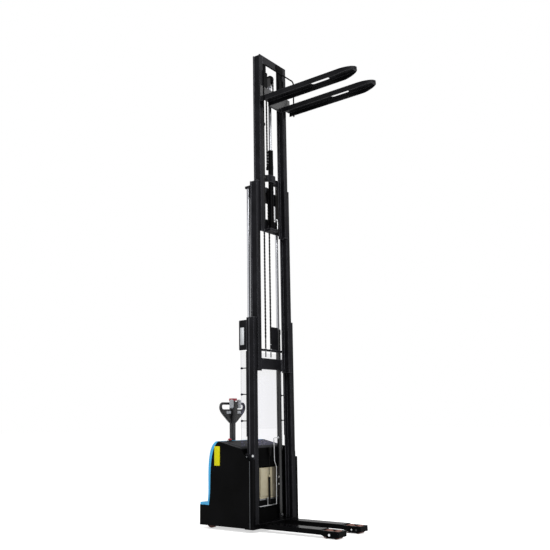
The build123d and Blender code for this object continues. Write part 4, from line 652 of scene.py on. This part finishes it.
bm = bmesh.new()
for z in (0.430, 0.505, PIPE_TOP):
    bolt(bm, (CYLINDER[0] - BARREL + 0.001, CYLINDER[1], z), -X_AXIS, 0.012)
turned(bm, [(PIPE_RUN, 0.0), (PIPE_RUN, 0.006), (0.234, 0.006), (0.236, 0.0025), (0.300, 0.0025), (0.300, 0.0)],
       (TEE_X, PIPE_Y, 0.0), Z_AXIS, 16)
turned(bm, [(PIPE_Y - 0.005, 0.0), (PIPE_Y - 0.005, 0.005), (PIPE_Y + 0.005, 0.005), (PIPE_Y + 0.007, 0.0025),
            (TANK_FACE, 0.0025), (TANK_FACE, 0.0)], (TEE_X, 0.0, 0.300), Y_AXIS, 16)
turned(bm, [(0.014, 0.0), (0.014, 0.008), (-0.014, 0.008), (-0.014, 0.0)], (0.0, PIPE_Y, PIPE_RUN), X_AXIS, 6)
fit("pipe_fittings", bm, [zinc], "chassis")

# Middle mast, inner mast and their rollers: the same channels, nested, welded to cross beams at both ends.
# They run on greased steel rollers, and the chains pass over turned steel sheaves.
dress(["middle_rails", "middle_top_beam", "middle_lower_beam", "inner_rails", "inner_top_beam",
       "inner_lower_beam", "cylinder_stay"], mast_coat)
dress(["free_lift_cylinder"], powder_coat)
# Ground bearing steel: dark and half bright, dull with grease in patches of 15 mm.
ground_steel = mottled("greased_ground_steel", 0.015, ("#0D0C0C", "#1D1D1F"), (0.50, 0.68), {"Metallic": 1.0},
                       {"Detail": 3.0})
dress(["middle_rollers", "inner_rollers", "carriage_rollers", "main_sheaves", "free_sheave"], ground_steel)

# Chain anchors: forged steel rods under the main chains, threaded through the cross bar
# of the outer mast and locked there with nuts.
bm = bmesh.new()
for x in (-CHAIN_X, CHAIN_X):
    turned(bm, [(1.790, 0.0), (1.792, 0.0062), (1.886, 0.0062), (1.890, 0.0085), (1.978, 0.0085), (1.984, 0.0060),
                (1.984, 0.0)], (x, CHAIN_REAR, 0.0), Z_AXIS, 16)
fit("chain_anchors", bm, [ground_steel], "chassis")

# Pipes of the inner mast: steel oil pipes in rubber sleeves run up beside the free lift cylinder, clamped to its
# stay, and a plated pipe feeds the cylinder's port. A matt black plate over the far half of the top beam's front is
# painted shade.
BEAM_FRONT = 0.344
SLEEVE = 0.009
NEAR_PIPES = (-0.150, -0.131, -0.112)
FAR_PIPES = (0.146, 0.175)
CLAMP_X = (-0.164, -0.098)
CLAMP_Y = (0.287, 0.334)
CLAMP_Z = (3.802, 4.452)
CLAMP_HEIGHT = 0.034
bm = bmesh.new()
for x in NEAR_PIPES:
    tube(bm, ((x, BEAM_FRONT - 0.002, 3.250), (x, BEAM_FRONT - 0.014, 3.262), (x, 0.302, 3.296), (x, 0.300, 3.320),
              (x, 0.300, 5.100), (x, 0.298, 5.130), (x, 0.278, 5.160), (x, 0.276, 5.184)), SLEEVE)
for x in FAR_PIPES:
    tube(bm, [(x, BEAM_FRONT - SLEEVE, z) for z in (3.220, 3.400, 3.776)], SLEEVE)
for z in CLAMP_Z:
    plate(bm, (CLAMP_X[0], CLAMP_Y[0], z), (CLAMP_X[1], CLAMP_Y[1], z + CLAMP_HEIGHT), 0.003)
fit("mast_pipes", bm, [rubber], "inner_mast")
top_low, top_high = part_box("inner_top_beam")
# Painted shade: the matt black plate darkens the far half of the beam's front.
bm = bmesh.new()
BEAM_SHADE_INSIDE = 0.048
plate(bm, (BEAM_SHADE_INSIDE, top_low[1] - 0.003, top_low[2] + 0.010),
      (top_high[0], top_low[1] + 0.001, top_high[2] - 0.012), 0.001)
fit("beam_shade_plate", bm, [matt_coat], "inner_mast")
bm = bmesh.new()
tube(bm, ((0.026, 0.280, 3.344), (0.030, 0.262, 3.344), (0.034, 0.249, 3.344), (0.048, 0.249, 3.342),
          (0.053, 0.249, 3.326), (0.052, 0.249, 3.236)), 0.0055)
bolt(bm, (0.052, 0.249, 3.244), -Z_AXIS, 0.0085)
fit("foot_pipe", bm, [zinc], "inner_mast")

# Lift chains: leaf chains of punched link plates on riveted pins, two for the inner mast, one for the carriage.
# Each is drawn in runs and turns, and each turn rides with its sheave.
LINK = 0.019
LINK_HALF = 0.0058
LINK_PLATE = 0.0026
LINK_SPREADS = (0.0042, 0.0075)
PIN_RADIUS = 0.0028
PIN_LENGTH = 0.0184


def leaf_link(bm, x, start, end, spread):
    """Pair of link plates between two pins, the spread apart, with a pin through the first."""
    start = Vector((x, *start))
    along = Vector((x, *end)) - start
    ahead = along.normalized()
    turn = Matrix((ahead.cross(X_AXIS), ahead, X_AXIS)).transposed().to_4x4()
    for offset in (-spread, spread):
        ring = bmesh.ops.create_cone(bm, cap_ends=True, segments=10, radius1=LINK_HALF, radius2=LINK_HALF,
                                     depth=LINK_PLATE)["verts"]
        far = [vert for vert in ring if vert.co.y > 0]
        bmesh.ops.translate(bm, verts=far, vec=(0, along.length, 0))
        bmesh.ops.transform(bm, matrix=Matrix.Translation(start + X_AXIS * offset) @ turn, verts=ring)
    bmesh.ops.create_cone(bm, cap_ends=True, segments=6, radius1=PIN_RADIUS, radius2=PIN_RADIUS, depth=PIN_LENGTH,
                          matrix=Matrix.Translation(start) @ turn)


def chain(name, places, pins, body=None):
    """Leaf chain over a row of pins, given as (y, z), at each place across the mast."""
    bm = bmesh.new()
    for x in places:
        for number, (start, end) in enumerate(zip(pins, pins[1:])):
            leaf_link(bm, x, start, end, LINK_SPREADS[number % 2])
    return fit(name, bm, [ground_steel], body)


def straight(y, bottom, top):
    """Pins of an upright run, at the chain's pitch."""
    count = round((top - bottom) / LINK)
    return [(y, bottom + (top - bottom) * step / count) for step in range(count + 1)]


def over(y, z, pitch):
    """Pins of a half turn over a sheave, from its front to its back."""
    count = round(math.pi * pitch / LINK)
    turns = [math.pi * step / count for step in range(count + 1)]
    return [(y - pitch * math.cos(turn), z + pitch * math.sin(turn)) for turn in turns]


MAIN_SHEAVE = (0.332, 3.690)
MAIN_PITCH = 0.030
ANCHOR = 1.990
INNER_ANCHOR = 3.272
MAIN_CHAINS = (-CHAIN_X, CHAIN_X)
main_rear = chain("main_chain_rear", MAIN_CHAINS, straight(CHAIN_REAR, ANCHOR, MAIN_SHEAVE[1] - 0.0125), "chassis")
main_turn = chain("main_chain_turn", MAIN_CHAINS, over(*MAIN_SHEAVE, MAIN_PITCH), "middle_mast")
main_front = chain("main_chain_front", MAIN_CHAINS,
                   straight(MAIN_SHEAVE[0] - MAIN_PITCH, INNER_ANCHOR, MAIN_SHEAVE[1]))
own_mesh(main_rear)
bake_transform(main_front)
for piece in (main_rear, main_turn, main_front):
    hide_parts("lift_chains")

FREE_SHEAVE = (0.294, 5.0545)
FREE_PITCH = 0.050
COLLAR = 3.986
PLATE_ANCHOR = 4.829
free_rear = chain("free_chain_rear", (0.0,), straight(0.344, COLLAR, FREE_SHEAVE[1]), "inner_mast")
free_turn = chain("free_chain_turn", (0.0,), over(*FREE_SHEAVE, FREE_PITCH), "lift_head")
free_front = chain("free_chain_front", (0.0,), straight(0.244, PLATE_ANCHOR, FREE_SHEAVE[1]))
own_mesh(free_rear)
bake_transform(free_front)
for piece in (free_rear, free_turn, free_front):
    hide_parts("free_lift_chain")

# Carriage, forks and load backrest: a flame cut plate carriage on side rollers, with the two slotted forks
# welded to its front and a bent bar guard behind them. All of it is powder coated with the mast.
# Carriage powder coat: the same black with more sheen, so that its plates catch the light.
carriage_coat = powder("sheened_black_powder_coat", "#060607", "#0E0E10", "#303034", 0.06, 0.30, 0.44)
dress(["load_backrest"], matt_coat)
# Painted shade: above 4.87 m the carriage's cheeks take the coat's darkest tone, without its edge highlight, and are
# rougher.
dress(["carriage"], repaint(carriage_coat, "sheened_coat_with_painted_shade_on_cheeks", "Z", 4.872, 4.876, "#060607", 0.85))
# Fork powder coat: a greyer black than the frame's, with a stronger painted highlight along its edges.
fork_coat = powder("grey_black_powder_coat", "#0C0C0E", "#161618", "#3A3A3E", 0.05, 0.32, 0.46)
dress(["fork_left", "fork_right"], fork_coat)
fork_low, fork_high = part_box("fork_left")
bm = bmesh.new()
for side in (-1, 1):
    inner = side * fork_low[0]
    outer = side * fork_high[0]
    weld(bm, (inner, fork_high[1], fork_high[2]), (outer, fork_high[1], fork_high[2]), 0.005)
    for x in (inner, outer):
        weld(bm, (x, fork_high[1], fork_low[2] + 0.004), (x, fork_high[1], fork_high[2]), 0.004)
fit("fork_welds", bm, [fork_coat], "carriage")
STIFFENER_X = (0.1145, 0.1775)
STIFFENER_Y = (0.2565, 0.2640)
STIFFENER_Z = (4.980, 5.205)
bm = bmesh.new()
for side in (-1, 1):
    inside, outside = sorted(side * x for x in STIFFENER_X)
    plate(bm, (inside, STIFFENER_Y[0], STIFFENER_Z[0]), (outside, STIFFENER_Y[1], STIFFENER_Z[1]), 0.002)
fit("cheek_stiffeners", bm, [matt_coat], "carriage")

# Mast guard: one clear polycarbonate sheet behind the mast, held off the rails on turned posts
# and clamped by knurled knobs.
# Clear polycarbonate: each face holds back about a thirteenth of what is behind it, with a lavender cast.
# It dulls in wipe marks 150 mm across.
polycarbonate = mottled("clear_polycarbonate", 0.150, ("#56528C", "#625E98"), (0.08, 0.2),
                        {"IOR": 1.58, "Alpha": 0.075})
# Sawn polycarbonate edge: it holds back most of the light, in saw marks 6 mm apart.
sawn_edge = mottled("sawn_polycarbonate_edge", 0.006, ("#24242A", "#3A3A42"), (0.4, 0.6),
                    {"IOR": 1.58, "Specular IOR Level": 0.2, "Alpha": 0.8})

guard_low, guard_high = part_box("mast_guard")
bm = bmesh.new()
plate(bm, guard_low, guard_high, 0.0008, segments=2)
for face in bm.faces:
    face.material_index = int(abs(face.normal.y) < 0.5)
guard = fit("guard_sheet", bm, [polycarbonate, sawn_edge], "chassis")
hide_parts("mast_guard")

POST_X = 0.342
POST_HEIGHTS = (1.110, 1.385, 1.660)
POST_ROOT = RAIL_REAR
KNOB_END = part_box("guard_standoffs")[1][1]
LOBES = 12
LOBE_CIRCLE = 0.0093
bm = bmesh.new()
for x in (-POST_X, POST_X):
    for z in POST_HEIGHTS:
        foot = (x, 0.0, z)
        turned(bm, [(POST_ROOT, 0.0), (POST_ROOT, 0.009), (POST_ROOT + 0.004, 0.009), (POST_ROOT + 0.006, 0.0055),
                    (guard_low[1] - 0.006, 0.0055), (guard_low[1] - 0.004, 0.010), (guard_low[1], 0.010),
                    (guard_low[1], 0.0)], foot, Y_AXIS, 20)
        turned(bm, [(guard_high[1], 0.0), (guard_high[1], 0.008), (guard_high[1] + 0.003, 0.0095),
                    (KNOB_END - 0.004, 0.0100), (KNOB_END - 0.001, 0.0085), (KNOB_END, 0.0)], foot, Y_AXIS, 20)
        for lobe in range(LOBES):
            swing = math.tau * lobe / LOBES
            grip = Vector((x + LOBE_CIRCLE * math.cos(swing), 0.0, z + LOBE_CIRCLE * math.sin(swing)))
            turned(bm, [(guard_high[1] + 0.002, 0.0), (guard_high[1] + 0.003, 0.0025),
                        (KNOB_END - 0.003, 0.0025), (KNOB_END - 0.002, 0.0)], grip, Y_AXIS, 6)
posts = fit("guard_posts", bm, [panel_paint], "chassis")
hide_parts("guard_standoffs")

# Mast side plate: a black steel plate fixed behind the right rail, near its top. A thin pale plate
# is screwed to its outside at the four corners.
dress(["mast_side_plate"], mast_coat)
# Brushed aluminium: pale, with lines along the plate drawn 4 mm apart so that they show.
brushed, tree = blank("brushed_aluminium")
place = add(tree, "ShaderNodeTexCoord")
stretch = add(tree, "ShaderNodeMapping", {"Scale": (1.0, 1.0, 0.05)}, {"Vector": place.outputs["Object"]})
lines = add(tree, "ShaderNodeTexNoise", {"Scale": 1 / 0.004, "Detail": 2.0}, {"Vector": stretch.outputs["Vector"]})
tone = add(tree, "ShaderNodeValToRGB", links={"Fac": lines.outputs["Fac"]})
tone.color_ramp.elements[0].color = linear("#8E9093")
tone.color_ramp.elements[1].color = linear("#A6A8AA")
gloss = add(tree, "ShaderNodeMapRange", {"To Min": 0.35, "To Max": 0.5}, {"Value": lines.outputs["Fac"]})
sheet = add(tree, "ShaderNodeBsdfPrincipled", {"Metallic": 1.0},
            {"Base Color": tone.outputs["Color"], "Roughness": gloss.outputs["Result"]})
add(tree, "ShaderNodeOutputMaterial", links={"Surface": sheet.outputs["BSDF"]})
BARE_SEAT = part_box("mast_side_plate")[0][0]
bm = bmesh.new()
BARE_FACE = BARE_SEAT - 0.0015
plate(bm, (BARE_FACE, 0.415, 1.908), (BARE_SEAT + 0.001, 0.468, 2.094), 0.0007)
for y in (0.420, 0.463):
    for z in (1.914, 2.088):
        screw(bm, (BARE_FACE, y, z), -X_AXIS, 0.0025)
fit("bare_plate", bm, [brushed], "chassis")

# Tiller: a painted steel stem on the steering yoke, with a moulded head and two grip loops.
# The head is two textured halves screwed together, and holds the paddles, rockers and belly button.
# Painted stem: the frame's powder coat in a softer black, with a peel drawn at 3 mm and patches of 120 mm.
stem_paint = mottled("soft_black_powder_coat", 0.120, ("#151517", "#1F1F21"), (0.35, 0.5),
                     {"IOR": 1.5, "Specular IOR Level": 0.3}, {"Detail": 3.0},
                     relief=(0.12, 0.0003), fine=("ShaderNodeTexNoise", 0.003))
dress(["tiller_arm"], stem_paint)

# Textured head halves: dark grey with a pebble drawn at 3 mm, and a parting line 2 mm wide around the edge.
head_abs, tree = blank("dark_grey_textured_abs")
place = add(tree, "ShaderNodeTexCoord")
pebble = add(tree, "ShaderNodeTexVoronoi", {"Scale": 1 / 0.003}, {"Vector": place.outputs["Object"]})
wear = add(tree, "ShaderNodeTexNoise", {"Scale": 1 / 0.080, "Detail": 3.0}, {"Vector": place.outputs["Object"]})
depth = add(tree, "ShaderNodeSeparateXYZ", links={"Vector": place.outputs["Object"]})
seam = add(tree, "ShaderNodeMath", {"operation": "COMPARE", 1: 0.884, 2: 0.001}, {0: depth.outputs["Y"]})
tone = add(tree, "ShaderNodeValToRGB", links={"Fac": wear.outputs["Fac"]})
tone.color_ramp.elements[0].color = linear("#0A0A0B")
tone.color_ramp.elements[1].color = linear("#121214")
parted = add(tree, "ShaderNodeMix", {"data_type": "RGBA", 7: linear("#060606")},
             {0: seam.outputs["Value"], 6: tone.outputs["Color"]})
gloss = add(tree, "ShaderNodeMapRange", {"To Min": 0.42, "To Max": 0.58}, {"Value": wear.outputs["Fac"]})
bump = add(tree, "ShaderNodeBump", {"Strength": 0.2, "Distance": 0.0003}, {"Height": pebble.outputs["Distance"]})
moulding = add(tree, "ShaderNodeBsdfPrincipled", {"IOR": 1.53, "Specular IOR Level": 0.3},
               {"Base Color": parted.outputs[2], "Roughness": gloss.outputs["Result"],
                "Normal": bump.outputs["Normal"]})
add(tree, "ShaderNodeOutputMaterial", links={"Surface": moulding.outputs["BSDF"]})
dress(["tiller_head"], head_abs)

HEAD_BACK = 0.899
HEAD_SCREWS = ((0.070, 1.170), (0.130, 1.222))
bm = bmesh.new()
for x, z in HEAD_SCREWS:
    for side in (-1, 1):
        screw(bm, (side * x, HEAD_BACK, z), Y_AXIS, 0.005)
fit("head_screws", bm, [zinc], "tiller")

# Thumb paddles and lift rockers: pale grey ABS mouldings that the thumbs turn and rock.
# The paddles share one shaft through the tiller head, and each rocker sits in the head's face below a grip.
# Moulded ABS: pale, satin, with 20 mm flow marks.
pale_abs = mottled("pale_grey_moulded_abs", 0.020, ("#969A9E", "#AAACB0"), (0.36, 0.46), {"IOR": 1.53})
dress(["thumb_paddles", "lift_rocker_left", "lift_rocker_right"], pale_abs)

# Studio: a pale floor that keeps the shadow, a white surround, and soft lamps.
# The floor adds a little of its own white for the camera, so that it meets the surround without a line.
floor_paint, tree = blank("pale_studio_floor")
rays = add(tree, "ShaderNodeLightPath")
seen = add(tree, "ShaderNodeMath", {"operation": "MAXIMUM"},
           {0: rays.outputs["Is Camera Ray"], 1: rays.outputs["Is Glossy Ray"]})
lifted = add(tree, "ShaderNodeMath", {"operation": "MULTIPLY", 1: 0.62}, {0: seen.outputs["Value"]})
matt = add(tree, "ShaderNodeBsdfDiffuse", {"Color": linear("#F2F2F2")})
glow = add(tree, "ShaderNodeEmission", {"Color": linear("#FFFFFF")}, {"Strength": lifted.outputs["Value"]})
both = add(tree, "ShaderNodeAddShader", links={0: matt.outputs["BSDF"], 1: glow.outputs["Emission"]})
add(tree, "ShaderNodeOutputMaterial", links={"Surface": both.outputs["Shader"]})
mesh = bpy.data.meshes.new("studio_floor")
bm = bmesh.new()
bmesh.ops.create_grid(bm, x_segments=1, y_segments=1, size=60.0)
bm.to_mesh(mesh)
bm.free()
mesh.materials.append(floor_paint)
floor = bpy.data.objects.new("studio_floor", mesh)
bpy.context.scene.collection.objects.link(floor)

world = bpy.data.worlds.new("studio")
bpy.context.scene.world = world
world.use_nodes = True
tree = world.node_tree
tree.nodes.clear()
rays = add(tree, "ShaderNodeLightPath")
seen = add(tree, "ShaderNodeMath", {"operation": "MAXIMUM"},
           {0: rays.outputs["Is Camera Ray"], 1: rays.outputs["Is Glossy Ray"]})
clear = add(tree, "ShaderNodeMath", {"operation": "MAXIMUM"},
            {0: seen.outputs["Value"], 1: rays.outputs["Is Transmission Ray"]})
level = add(tree, "ShaderNodeMapRange", {"To Min": 0.5, "To Max": 1.0}, {"Value": clear.outputs["Value"]})
surround = add(tree, "ShaderNodeBackground", {"Color": linear("#FFFFFF")}, {"Strength": level.outputs["Result"]})
add(tree, "ShaderNodeOutputWorld", links={"Surface": surround.outputs["Background"]})

LAMPS = (
    ("key_softbox", (-3.6, -5.0, 6.5), (0.0, 0.2, 2.0), 3.5, 420.0),
    ("fill_softbox", (-5.5, 3.0, 3.5), (0.0, 0.3, 1.5), 3.0, 90.0),
    ("front_softbox", (4.5, -3.2, 7.7), (0.0, 0.2, 4.8), 3.0, 260.0),
    ("low_strip", (4.8, -3.3, 1.5), (0.0, 0.3, 1.2), 2.4, 22.0),
)
for name, place, aim, size, power in LAMPS:
    lamp = bpy.data.lights.new(name, "AREA")
    lamp.shape = "SQUARE"
    lamp.size = size
    lamp.energy = power
    softbox = bpy.data.objects.new(name, lamp)
    softbox.location = place
    softbox.rotation_euler = (Vector(aim) - Vector(place)).to_track_quat("-Z", "Y").to_euler()
    softbox.visible_camera = False
    bpy.context.scene.collection.objects.link(softbox)

# Camera: at waist height, looking up the mast from the front right of the machine.
YAW = math.radians(37.18)
PITCH = math.radians(11.37)
ROLL = math.radians(-0.86)
look = Vector((math.cos(YAW) * math.cos(PITCH), math.sin(YAW) * math.cos(PITCH), math.sin(PITCH)))
right = Vector((math.sin(YAW), -math.cos(YAW), 0.0))
up = right.cross(look)
across = right * math.cos(ROLL) + up * math.sin(ROLL)
upward = up * math.cos(ROLL) - right * math.sin(ROLL)
lens = bpy.data.cameras.new("camera")
lens.lens = 46.73
lens.sensor_width = 36.0
camera = bpy.data.objects.new("camera", lens)
camera.matrix_world = Matrix.Translation((-6.22298, -4.46551, 1.12951)) @ Matrix(
    (across, upward, -look)).transposed().to_4x4()
bpy.context.scene.collection.objects.link(camera)
bpy.context.scene.camera = camera
bpy.context.scene.view_settings.view_transform = "Standard"
